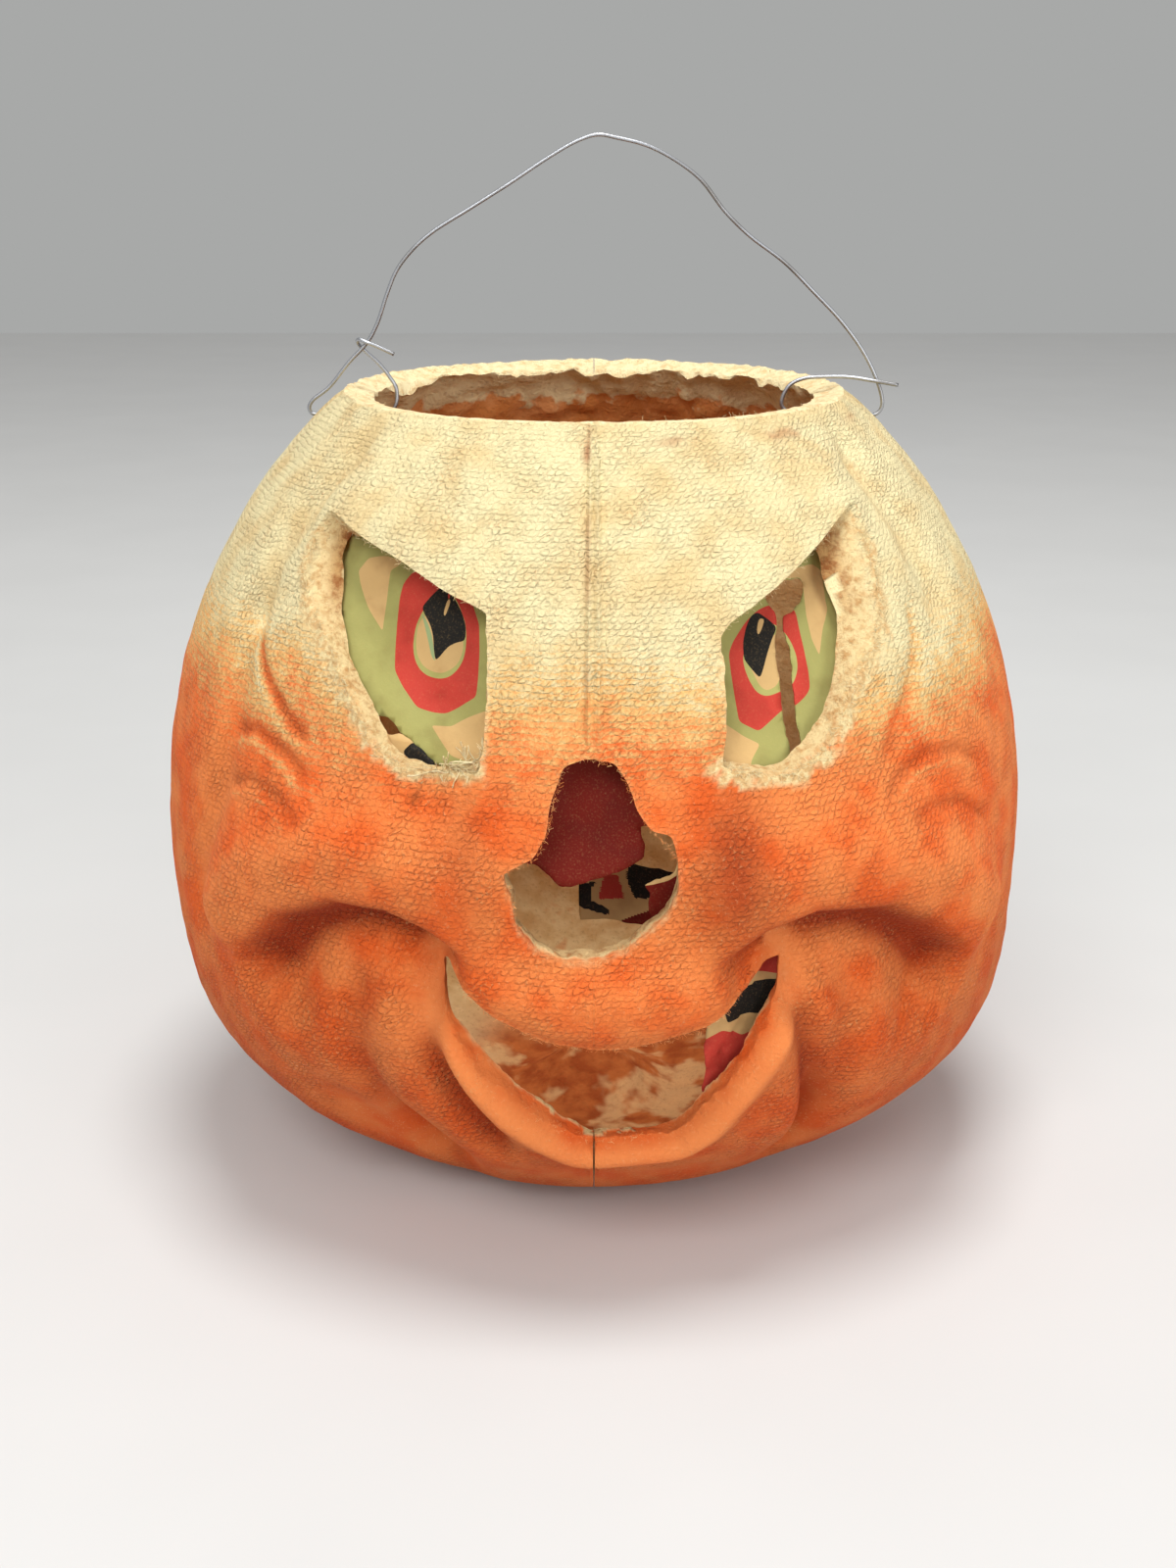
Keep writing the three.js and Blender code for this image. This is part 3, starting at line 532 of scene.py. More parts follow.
def skin_relief(s, z):
    total = outer_relief(s, z) + seam_flash(s, z) + rim_lip(s / BODY_RADIUS, z)
    near = np.stack([s, 0 * s, z], -1)
    return total + 0.16 * lumps(near, 7) + 0.1 * lumps(near, 2.6, 3.1)


RIM_ROWS = 8


def half_skin(side):
    half_turn = math.pi * BODY_RADIUS
    arcs = column_arcs(half_turn)
    azimuth = side * arcs / BODY_RADIUS
    rows = []
    for share in np.linspace(0, 1, 13):
        radius = KICK_RADIUS * share
        height = KICK_HEIGHT * (1 - share**2) ** 2
        rows.append(np.stack([
            radius * np.sin(azimuth), -radius * np.cos(azimuth) * DEPTH_RATIO, height + 0 * azimuth], 1))
    for radius in np.linspace(KICK_RADIUS, FOOT_RADIUS, 6)[1:-1]:
        rows.append(np.stack([
            radius * np.sin(azimuth), -radius * np.cos(azimuth) * DEPTH_RATIO, 0 * azimuth], 1))
    for z in spaced_heights(207):
        points = body_points(azimuth, z, skin_relief, 0)
        edge = smooth(RIM_HEIGHT - 0.8, RIM_HEIGHT, z)
        points[:, :2] *= 1 - 0.012 * edge
        rows.append(points)
    top = rows[-1]
    rim_inner = RIM_RADIUS - math.hypot(1, float(slope_at(RIM_HEIGHT))) * WALL
    for share in np.linspace(0, 1, RIM_ROWS + 1)[1:]:
        width = RIM_RADIUS + (rim_inner - RIM_RADIUS) * share
        ring = np.stack([
            width * np.sin(azimuth), -width * np.cos(azimuth) * DEPTH_RATIO, top[:, 2]], 1)
        ring = ring + (1 - share) ** 3 * (top - ring) * [1, 1, 0]
        ragged = 1 - 0.6 * smooth(10, 30, -ring[:, 1])
        rough = 0.3 * lumps(ring, 3.4) + 0.28 * lumps(ring, 1.1, 2.2)
        ring[:, 2] += rough * ragged + 0.5 * ragged * bump(share - 0.25, 0.25) - 0.9 * share**3
        rows.append(ring)
    outer = np.array(rows)

    inner_count = (len(rows) - 1) // 2
    inner_arcs = azimuth[::2]
    inner = []
    for share in np.linspace(0, 1, 6):
        radius = KICK_RADIUS * share
        height = KICK_HEIGHT * (1 - share**2) ** 2 + WALL
        inner.append(np.stack([
            radius * np.sin(inner_arcs), -radius * np.cos(inner_arcs) * DEPTH_RATIO,
            height + 0 * inner_arcs], 1))
    wanted = inner_count + 1 - len(inner)
    low = 1.5 * WALL
    heights = spaced_heights(900)
    heights = heights[heights > low]
    for z in heights[np.linspace(0, len(heights) - 1, wanted - 2).astype(int)]:
        inner.append(body_points(inner_arcs, z, inner_relief, WALL))
    last = inner[-1]
    for share in (0.5, 1):
        goal = np.stack([
            rim_inner * np.sin(inner_arcs), -rim_inner * np.cos(inner_arcs) * DEPTH_RATIO,
            outer[-1][::2, 2] - 0.3], 1)
        inner.append(last + (goal - last) * share)
    inner = np.array(inner)
    return outer, inner


def roughen_inside(inner):
    """Lumps of pulp on the inside, lower behind the face where the papers are pasted."""
    centre = np.array([0, 0, 66.0])
    out = inner - centre
    out /= np.linalg.norm(out, axis=-1, keepdims=True)
    pasted = smooth(-34, -50, inner[..., 1]) * smooth(52, 60, inner[..., 2]) * (
        1 - smooth(54, 60, np.abs(inner[..., 0])))
    rough = 0.75 * lumps(inner, 7.5) + 0.5 * lumps(inner, 3.2, 4.4) + 0.25 * lumps(inner, 1.6, 9.1)
    ragged = smooth(112, 124, inner[..., 2]) * smooth(-20, 20, inner[..., 1])
    rough = rough * (1 - 0.85 * pasted) * (1 + 1.1 * ragged) - 0.5 * ragged
    rim = smooth(RIM_HEIGHT - 1.5, RIM_HEIGHT - 0.5, inner[..., 2])
    return inner + out * (rough * (1 - 0.5 * rim))[..., None]


def strip(outer_ids, inner_ids):
    """Triangles between a row and another with half as many steps."""
    faces = []
    for k in range(len(inner_ids) - 1):
        a, b, c = outer_ids[2 * k], outer_ids[2 * k + 1], outer_ids[2 * k + 2]
        d, e = inner_ids[k], inner_ids[k + 1]
        faces += [[a, b, d], [b, e, d], [b, c, e]]
    return faces


def grid_faces(ids):
    a, b, c, d = ids[:-1, :-1], ids[:-1, 1:], ids[1:, 1:], ids[1:, :-1]
    quads = np.stack([a, b, c, d], -1).reshape(-1, 4)
    return [q for q in quads.tolist() if q[0] != q[1] or q[2] != q[3]]


def held_in(values, limits):
    """Draws in what stands beyond start, so that reach comes to limit."""
    start, reach, limit = limits
    within = np.minimum(np.abs(values), start)
    beyond = np.maximum(np.abs(values) - start, 0)
    return np.sign(values) * (within + beyond * (limit - start) / (reach - start))


def shell_half(name, side, cutters, finishes):
    outer, inner = half_skin(side)
    inner = roughen_inside(inner)
    points = [outer.reshape(-1, 3), inner.reshape(-1, 3)]
    outer_ids = np.arange(outer.shape[0] * outer.shape[1]).reshape(outer.shape[:2])
    inner_ids = outer_ids.size + np.arange(inner.shape[0] * inner.shape[1]).reshape(inner.shape[:2])
    outer_ids[0, :] = outer_ids[0, 0]
    inner_ids[0, :] = inner_ids[0, 0]
    everywhere = np.vstack(points)
    across = np.abs(everywhere[:, 0])
    open_chin = smooth(31, 27, everywhere[:, 2]) * smooth(12, 17, everywhere[:, 2]) * (everywhere[:, 1] < 0)
    outside = np.concatenate([np.ones(outer.size // 3), np.zeros(inner.size // 3)])
    face = smooth(26, 32, everywhere[:, 2]) * (everywhere[:, 1] < 0)
    gap = (SEAM_GAP * (0.3 - 0.25 * face) + 0.05 * open_chin) * outside
    everywhere[:, 0] = side * (across + gap * np.exp(-across / 1.2))
    everywhere[:, 0] = held_in(everywhere[:, 0], SIDE_LIMIT)
    towards_back = everywhere[:, 1]
    everywhere[:, 1] = np.where(
        towards_back > 0, held_in(towards_back, BACK_LIMIT), held_in(towards_back, FRONT_LIMIT))
    everywhere[:, 2] = np.maximum(everywhere[:, 2], 0)
    groups = [
        (0, grid_faces(outer_ids[:-RIM_ROWS])),
        (2, grid_faces(outer_ids[-RIM_ROWS - 1:])),
        (1, [face[::-1] for face in grid_faces(inner_ids)]),
        (2, strip(outer_ids[-1], inner_ids[-1])),
        (2, strip(outer_ids[:, 0], inner_ids[:, 0])),
        (2, [face[::-1] for face in strip(outer_ids[:, -1], inner_ids[:, -1])]),
    ]
    faces, skins = [], []
    for skin, some in groups:
        some = [f for f in some if len(set(f)) > 2]
        faces += some if side > 0 else [face[::-1] for face in some]
        skins += [skin] * len(some)
    faces = [list(dict.fromkeys(face)) for face in faces]
    used = np.unique(np.concatenate([np.array(f) for f in faces]))
    renumber = np.full(len(everywhere), -1)
    renumber[used] = np.arange(len(used))
    mesh = bpy.data.meshes.new(name)
    mesh.from_pydata((everywhere[used] * MM).tolist(), [], [renumber[f].tolist() for f in faces])
    mesh.attributes.new("skin", "INT", "FACE").data.foreach_set("value", skins)
    half = new_object(name, mesh)
    for cutter in cutters:
        cut = half.modifiers.new("cut", "BOOLEAN")
        cut.operation = "DIFFERENCE"
        cut.solver = "MANIFOLD"
        cut.object = cutter
    half = settled(half, name)
    half.data.materials.clear()
    for material in finishes:
        half.data.materials.append(material)
    finish_half(half.data)
    return half


def finish_half(mesh):
    """What the paint follows: values at each point, and the screen's own map."""
    points = vertex_points(mesh)
    x, y, z = points.T
    azimuth = np.arctan2(x, -y / DEPTH_RATIO)
    s = azimuth * BODY_RADIUS
    ridge = wrinkle_ridge(s, z)
    crease = crease_shade(s, z)
    wavy = 4 * lumps(points, 26) + 2.5 * lumps(points, 9, 2.7)
    wide = smooth(0.7, 1.25, np.abs(azimuth))
    paint = smooth(24, -24 + 3 * wide, z - 95.3 - 3.7 * wide + 1.2 * wavy)
    # Cream on the fold below each wrinkle: worn paint and painted highlight.
    paint = np.clip(paint - 0.2 * ridge, 0, 1)
    groove = -grooves(WRINKLES, 1, WRINKLE_WIDTH, s, z)
    groove = groove - grooves(FAINT_WRINKLES, 0.5, FAINT_WRINKLE_WIDTH, s, z)
    paint = np.clip(paint + 0.35 * groove, 0, 1)
    # Painted shade: darker orange-brown in the smile creases, wrinkle grooves, lip valleys, lower grooves and
    # beside the nose; also darker towards the bottom.
    nose_side_shade = mound(s, z, [20.5, 75], 6, 11) + 0.5 * mound(s, z, [-19, 77], 5, 10)
    valley_shade = -grooves(LIP_VALLEYS, 0.55, 2.4, s, z) - grooves(LOWER_GROOVES, 0.2, 3.5, s, z)
    painted_shade = np.clip(1.2 * crease + 0.35 * groove + valley_shade + 0.4 * smooth(60, 30, z) + 0.85 * nose_side_shade, 0, 1)
    set_values(mesh, "paint", paint)
    set_values(mesh, "painted_shade", painted_shade)
    crack = bump(z - RIM_HEIGHT + 2.4 + 0.5 * lumps(points, 4, 8), 0.45) * smooth(0.1, 0.3, azimuth)
    crack = 0.7 * crack * (1 - smooth(1.15, 1.3, azimuth)) * smooth(-0.1, 0.35, lumps(points, 5, 3))
    seam_line = 0.45 * bump(s + 1.2, 0.5) * smooth(92, 96, z) * smooth(-0.3, 0.3, lumps(points, 6))
    seam_line = seam_line + 0.8 * mound(s, z, [-1.8, 131], 0.8, 1.6)
    speck = 1.6 * mound(s, z, [-27.4, 84.6], 0.8, 0.7)
    set_values(mesh, "stained", np.clip((y < 0) * (crack + seam_line + speck), 0, 1))

    skin = body_points(azimuth, z, outer_relief, 0)
    reach = np.hypot(x, y / DEPTH_RATIO)
    depth = (np.hypot(skin[:, 0], skin[:, 1] / DEPTH_RATIO) - reach) / np.hypot(1, slope_at(z))
    torn = np.zeros(len(points))
    raw = np.zeros(len(points))
    front = y < 0
    for edges, reach, side, from_depth in (
            (LEFT_EYE_HOLE, 1.5, -1, 0.3), (RIGHT_EYE_HOLE, 2.0, 1, 0.3), (NOSE_HOLE, 0.3, 0, 1.0),
            (MOUTH_HOLE, -0.6, 0, 1.8)):
        outline = resampled(paired(edges)[:, :2], 0.6, 2)
        distance, _, along = nearest_on(outline, x, z, closed=True)
        normals = outline_normals(outline)
        index = np.minimum((along * len(outline)).astype(int), len(outline) - 1)
        down = smooth(0.2, -0.5, normals[index, 1])
        outside = smooth(0.1, 0.7, side * normals[index, 0]) if side else 0 * down
        band = reach * np.maximum(down, 0.6 * outside) * (1 + 0.9 * lumps(points, 1.6, 1.5)) - 0.5
        torn = np.maximum(torn, front * smooth(0.8, -0.5, distance - band))
        within = distance < 6
        raw = np.maximum(raw, within * smooth(from_depth, from_depth + 1.2, depth + 0.4 * lumps(points, 1.2)))
    distance, above, _ = nearest_on(LOWER_LIP, s, z)
    plain = front * (above < 2) * smooth(8, 4, distance)
    set_values(mesh, "torn", torn * smooth(1.5, 0.2, raw))
    # Lighter orange on the lower lip's bevel, used in the material: its paint and painted light where the
    # bevel faces up.
    set_values(mesh, "lip", plain * smooth(0.5, 0, raw) * smooth(1, 3, distance))
    set_values(mesh, "raw", raw)
    # Browner deeper in the torn wall and most at the tops of the eye holes, where the wall faces down: the
    # browner pulp there and painted shade.
    brown = np.where(z > 84, 0.1 + 0.9 * smooth(104, 112, z), 0.5)
    set_values(mesh, "deeper", raw * smooth(1.6, 3.2, depth) * brown)
    set_values(mesh, "plain", np.clip(0.75 * plain + smooth(0.6, 1.4, depth), 0, 1))

    u = azimuth * np.hypot(x, y / DEPTH_RATIO)
    v = travelled(np.clip(z, 0, RIM_HEIGHT))
    corners = np.empty(len(mesh.loops), int)
    mesh.loops.foreach_get("vertex_index", corners)
    screen = mesh.uv_layers.new(name="screen")
    screen.data.foreach_set("uv", np.stack([u[corners], v[corners]], 1).astype(np.float32).ravel())

    skins = np.zeros(len(mesh.polygons), int)
    if "skin" in mesh.attributes:
        mesh.attributes["skin"].data.foreach_get("value", skins)
    mesh.polygons.foreach_set("material_index", np.clip(skins, 0, 2))
    mesh.polygons.foreach_set("use_smooth", [True] * len(mesh.polygons))
    mesh.set_sharp_from_angle(angle=math.radians(50))


# Nodes of materials


def add(tree, kind, inputs=None, **settings):
    node = tree.nodes.new(kind)
    for key, value in settings.items():
        setattr(node, key, value)
    for socket, value in (inputs or {}).items():
        if isinstance(value, bpy.types.NodeSocket):
            tree.links.new(value, node.inputs[socket])
        else:
            node.inputs[socket].default_value = value
    return node


def calc(tree, operation, *values):
    return add(tree, "ShaderNodeMath", dict(enumerate(values)), operation=operation).outputs[0]


def portion(tree, value, share):
    return calc(tree, "MULTIPLY", value, share)


def stepped(tree, value, low, high):
    inputs = {"Value": value, "From Min": low, "From Max": high}
    return add(tree, "ShaderNodeMapRange", inputs, interpolation_type="SMOOTHSTEP").outputs[0]


def blended(tree, share, first, second, mode="MIX"):
    inputs = {0: share, 6: first, 7: second}
    return add(tree, "ShaderNodeMix", inputs, data_type="RGBA", blend_type=mode).outputs[2]


def grain(tree, where, size, detail=3.0, roughness=0.55):
    """Noise with features of that size in millimetres."""
    inputs = {"Vector": where, "Scale": 1 / (size * MM), "Detail": detail, "Roughness": roughness}
    return add(tree, "ShaderNodeTexNoise", inputs).outputs[0]


def value_of(tree, name):
    return add(tree, "ShaderNodeAttribute", attribute_name=name).outputs["Fac"]


def colour(red, green, blue):
    """A display colour of 0 to 255 as the shader takes it."""
    share = np.array([red, green, blue]) / 255
    linear = np.where(share <= 0.04045, share / 12.92, ((share + 0.055) / 1.055) ** 2.4)
    return (*linear.tolist(), 1.0)


def new_finish(name, roughness, **sockets):
    material = bpy.data.materials.new(name)
    material.use_nodes = True
    tree = material.node_tree
    shader = tree.nodes["Principled BSDF"]
    shader.inputs["Roughness"].default_value = roughness
    for socket, value in sockets.items():
        shader.inputs[socket.replace("_", " ")].default_value = value
    where = add(tree, "ShaderNodeTexCoord").outputs["Object"]
    return material, tree, shader, where


def raised(tree, height, depth, strength, below=None):
    """Bump of that depth in millimetres."""
    inputs = {"Height": height, "Distance": depth * MM, "Strength": strength}
    if below is not None:
        inputs["Normal"] = below
    return add(tree, "ShaderNodeBump", inputs).outputs[0]


def arched(tree, part, sharpness):
    """A rounded rise from 0 to 1 and back, as part goes from 0 to 1."""
    parabola = calc(tree, "MULTIPLY", calc(tree, "MULTIPLY", part, 4.0), calc(tree, "SUBTRACT", 1.0, part))
    return calc(tree, "POWER", parabola, sharpness)


def painted_pulp():
    material, tree, shader, where = new_finish("painted_pulp", 0.85, Specular_IOR_Level=0.25)
    screen = add(tree, "ShaderNodeUVMap", uv_map="screen").outputs[0]
    parts = add(tree, "ShaderNodeSeparateXYZ", {0: screen})
    shake = add(tree, "ShaderNodeSeparateXYZ", {
        0: add(tree, "ShaderNodeTexNoise", {
            "Vector": where, "Scale": 1 / (3.2 * MM), "Detail": 2.0}).outputs["Color"]})
    v = calc(tree, "MULTIPLY_ADD", shake.outputs[1], 1.5, parts.outputs[1])
    u = calc(tree, "MULTIPLY_ADD", shake.outputs[0], 2.4, parts.outputs[0])
    row = calc(tree, "FLOOR", calc(tree, "DIVIDE", v, SCREEN_ROW))
    up = calc(tree, "SUBTRACT", calc(tree, "DIVIDE", v, SCREEN_ROW), row)
    slant = calc(tree, "MULTIPLY_ADD", up, -0.5, calc(tree, "MULTIPLY", row, 0.5))
    along = calc(tree, "FRACT", calc(tree, "ADD", calc(tree, "DIVIDE", u, SCREEN_PITCH), slant))
    lump = calc(tree, "MULTIPLY", arched(tree, along, 0.9), arched(tree, up, 0.9))
    underside = calc(tree, "SUBTRACT", up, 0.5)
    fine = grain(tree, where, 0.5, 5.0, 0.7)
    felt = grain(tree, where, 0.95, 3.0, 0.6)
    patchy = grain(tree, where, 9.0, 2.0)
    tiny = grain(tree, where, 0.2, 2.0)
    loose = calc(tree, "MULTIPLY_ADD", fine, 1.0, -0.5)
    worn = stepped(tree, grain(tree, where, 6.0, 3.0), 0.38, 0.6)
    matted = calc(tree, "MULTIPLY_ADD", calc(tree, "SUBTRACT", felt, 0.5), 2.1, lump)
    pit = stepped(tree, calc(tree, "SUBTRACT", 1.0, matted), 0.1, 1.15)
    pit = calc(tree, "MULTIPLY", pit, calc(tree, "MULTIPLY_ADD", worn, 0.5, 0.5))
    clear = calc(tree, "SUBTRACT", 1.0, value_of(tree, "plain"))
    pit = calc(tree, "MULTIPLY", pit, clear)

    shaded = calc(tree, "MULTIPLY", underside, clear)
    paint = calc(tree, "MULTIPLY_ADD", shaded, 0.16, value_of(tree, "paint"))
    paint = calc(tree, "MULTIPLY_ADD", loose, 0.6, paint)
    mottled = calc(tree, "SUBTRACT", grain(tree, where, 2.6, 3.0, 0.6), 0.5)
    paint = calc(tree, "MULTIPLY_ADD", mottled, 0.5, paint)
    paint = stepped(tree, paint, 0.1, 0.9)
    cream = blended(tree, stepped(tree, patchy, 0.4, 0.7), colour(248, 232, 180), colour(240, 212, 154))
    orange = blended(tree, stepped(tree, patchy, 0.35, 0.7), colour(255, 144, 74), colour(250, 108, 38))
    faded = colour(247, 196, 122)
    base = blended(tree, stepped(tree, paint, 0.0, 0.5), cream, faded)
    base = blended(tree, stepped(tree, paint, 0.35, 1.0), base, orange)
    # Painted shade: creases, grooves, valleys and the sides of the nose turn deep orange-brown.
    painted_shade = calc(tree, "MULTIPLY", value_of(tree, "painted_shade"), paint)
    base = blended(tree, painted_shade, base, colour(168, 58, 12))
    # Lighter orange on the lip bevel: its paint and painted light where the bevel faces up.
    base = blended(tree, calc(tree, "MULTIPLY", value_of(tree, "lip"), 0.6), base, colour(255, 154, 86))
    speckled = stepped(tree, grain(tree, where, 6.0, 2.0), 0.5, 0.75)
    specks = calc(tree, "MULTIPLY", speckled, stepped(tree, fine, 0.5, 0.68))
    base = blended(tree, calc(tree, "MULTIPLY", specks, 0.55), base, colour(226, 160, 96))
    # Screen pits darkened: dirt in the pits and painted shade in them.
    pit_dirt_and_shade = calc(tree, "MULTIPLY", pit, calc(tree, "MULTIPLY_ADD", paint, 0.17, 0.06))
    base = blended(tree, pit_dirt_and_shade, base, colour(200, 136, 90), "MULTIPLY")
    lint = calc(tree, "MULTIPLY", stepped(tree, fine, 0.56, 0.72), 0.34)
    base = blended(tree, lint, base, colour(250, 196, 140))
    base = blended(tree, calc(tree, "MULTIPLY", value_of(tree, "stained"), 0.8), base, colour(176, 88, 36))
    torn = value_of(tree, "torn")
    fluffy = blended(tree, stepped(tree, felt, 0.4, 0.62), colour(226, 184, 126), colour(246, 222, 166))
    base = blended(tree, torn, base, fluffy)
    raw = value_of(tree, "raw")
    mid = grain(tree, where, 1.6, 4.0, 0.65)
    fresh = blended(tree, stepped(tree, mid, 0.42, 0.7), colour(240, 214, 158), colour(206, 158, 100))
    brown = blended(tree, stepped(tree, mid, 0.36, 0.66), colour(214, 168, 108), colour(160, 98, 50))
    bare = blended(tree, value_of(tree, "deeper"), fresh, brown)
    bare = blended(tree, portion(tree, stepped(tree, fine, 0.52, 0.75), 0.5), bare, colour(176, 116, 66))
    base = blended(tree, raw, base, bare)
    tree.links.new(base, shader.inputs["Base Color"])

    hollow = calc(tree, "MULTIPLY_ADD", pit, -1.25, calc(tree, "MULTIPLY_ADD", fine, 1.5, 1.0))
    hollow = calc(tree, "MULTIPLY_ADD", felt, 1.1, hollow)
    covered = calc(tree, "MAXIMUM", calc(tree, "MAXIMUM", torn, raw), value_of(tree, "plain"))
    kept = calc(tree, "SUBTRACT", 1.0, covered)
    height = calc(tree, "MULTIPLY", hollow, calc(tree, "MULTIPLY_ADD", kept, 0.8, 0.2))
    fluff = calc(tree, "MULTIPLY", calc(tree, "MAXIMUM", torn, raw), mid)
    height = calc(tree, "MULTIPLY_ADD", fluff, 2.2, height)
    height = calc(tree, "MULTIPLY_ADD", calc(tree, "MULTIPLY", covered, fine), 0.9, height)
    normal = raised(tree, height, 0.36, 1.0)
    normal = raised(tree, tiny, 0.07, 1.0, normal)
    tree.links.new(normal, shader.inputs["Normal"])
    return material


def raw_pulp():
    material, tree, shader, where = new_finish("raw_pulp", 0.92, Specular_IOR_Level=0.2)
    broad = grain(tree, where, 11.0, 3.0, 0.6)
    place = add(tree, "ShaderNodeSeparateXYZ", {0: where})
    behind = stepped(tree, place.outputs[1], 0.012, 0.034)
    mid = grain(tree, where, 4.5, 3.0, 0.5)
    fine = grain(tree, where, 0.8, 3.0, 0.6)
    tan = blended(tree, stepped(tree, mid, 0.35, 0.68), colour(240, 208, 150), colour(222, 178, 118))
    tan = blended(tree, portion(tree, stepped(tree, broad, 0.58, 0.66), 0.5), tan, colour(214, 122, 62))
    # Front of the inside, the floor included: orange-brown pulp darkened as painted shade.
    front_inside_shaded = blended(tree, stepped(tree, mid, 0.36, 0.66), colour(198, 108, 52), colour(164, 76, 32))
    front_inside_shaded = blended(tree, portion(tree, stepped(tree, broad, 0.5, 0.62), 0.7), front_inside_shaded, colour(238, 190, 130))
    # Painted light: paler on the left of the inside, where light falls through the opening.
    left = portion(tree, stepped(tree, place.outputs[0], -0.016, -0.028), 0.7)
    front_inside_shaded = blended(tree, left, front_inside_shaded, colour(238, 206, 150))
    base = blended(tree, behind, front_inside_shaded, tan)
    # Inside wall near the rim: a ragged orange-brown band of painted shade, and above it a cream band, the
    # cream of the torn pulp with painted light from above.
    ragged = calc(tree, "MULTIPLY_ADD", calc(tree, "SUBTRACT", mid, 0.5), 0.012, place.outputs[2])
    upper_inside_shade = blended(tree, stepped(tree, broad, 0.4, 0.62), colour(222, 140, 74), colour(238, 162, 100))
    base = blended(tree, stepped(tree, ragged, 0.098, 0.112), base, upper_inside_shade)
    base = blended(tree, stepped(tree, ragged, 0.1268, 0.1282), base, colour(246, 222, 172))
    base = blended(tree, portion(tree, stepped(tree, fine, 0.52, 0.75), 0.3), base, colour(156, 92, 44))
    tree.links.new(base, shader.inputs["Base Color"])
    normal = raised(tree, mid, 1.4, 0.8)
    normal = raised(tree, fine, 0.4, 0.8, normal)
    tree.links.new(normal, shader.inputs["Normal"])
    return material


def torn_pulp():
    material, tree, shader, where = new_finish("torn_pulp", 0.95, Specular_IOR_Level=0.15)
    mid = grain(tree, where, 1.8, 4.0, 0.65)
    fine = grain(tree, where, 0.5, 4.0, 0.7)
    base = blended(tree, stepped(tree, mid, 0.4, 0.7), colour(246, 228, 180), colour(230, 196, 142))
    base = blended(tree, portion(tree, stepped(tree, fine, 0.54, 0.75), 0.4), base, colour(190, 134, 80))
    tree.links.new(base, shader.inputs["Base Color"])
    normal = raised(tree, mid, 0.7, 1.0)
    normal = raised(tree, fine, 0.35, 1.0, normal)
    tree.links.new(normal, shader.inputs["Normal"])
    return material


def painted_lint():
    material, tree, shader, where = new_finish("painted_lint", 0.95, Specular_IOR_Level=0.15)
    patchy = stepped(tree, grain(tree, where, 2.0), 0.45, 0.65)
    base = blended(tree, patchy, colour(244, 150, 84), colour(248, 196, 134))
    tree.links.new(base, shader.inputs["Base Color"])
    return material


def printed_paper():
    material, tree, shader, where = new_finish("printed_paper", 0.7, Specular_IOR_Level=0.2)
    ink = add(tree, "ShaderNodeAttribute", attribute_name="ink").outputs["Color"]
    fine = grain(tree, where, 0.3, 3.0, 0.6)
    broad = grain(tree, where, 5.0, 3.0, 0.5)
    base = blended(tree, portion(tree, stepped(tree, fine, 0.5, 0.8), 0.12), ink, colour(214, 176, 120))
    aged = portion(tree, stepped(tree, broad, 0.45, 0.75), 0.25)
    base = blended(tree, aged, base, colour(150, 110, 66), "MULTIPLY")
    tree.links.new(base, shader.inputs["Base Color"])
    normal = raised(tree, broad, 0.6, 0.6)
    normal = raised(tree, fine, 0.03, 1.0, normal)
    tree.links.new(normal, shader.inputs["Normal"])
    return material


def steel_wire():
    material, tree, shader, where = new_finish("steel_wire", 0.42, Metallic=1.0)
    dull = stepped(tree, grain(tree, where, 9.0, 2.0, 0.5), 0.5, 0.75)
    base = blended(tree, dull, colour(176, 178, 182), colour(142, 139, 136))
    tree.links.new(base, shader.inputs["Base Color"])
    return material


# Paper prints

GREEN = colour(160, 156, 92)
RED = colour(192, 62, 50)
DARK_RED = colour(106, 18, 4)
BLACK = colour(28, 26, 22)
CREAM = colour(204, 168, 112)
LENS = colour(170, 166, 98)
PALE = colour(152, 168, 118)

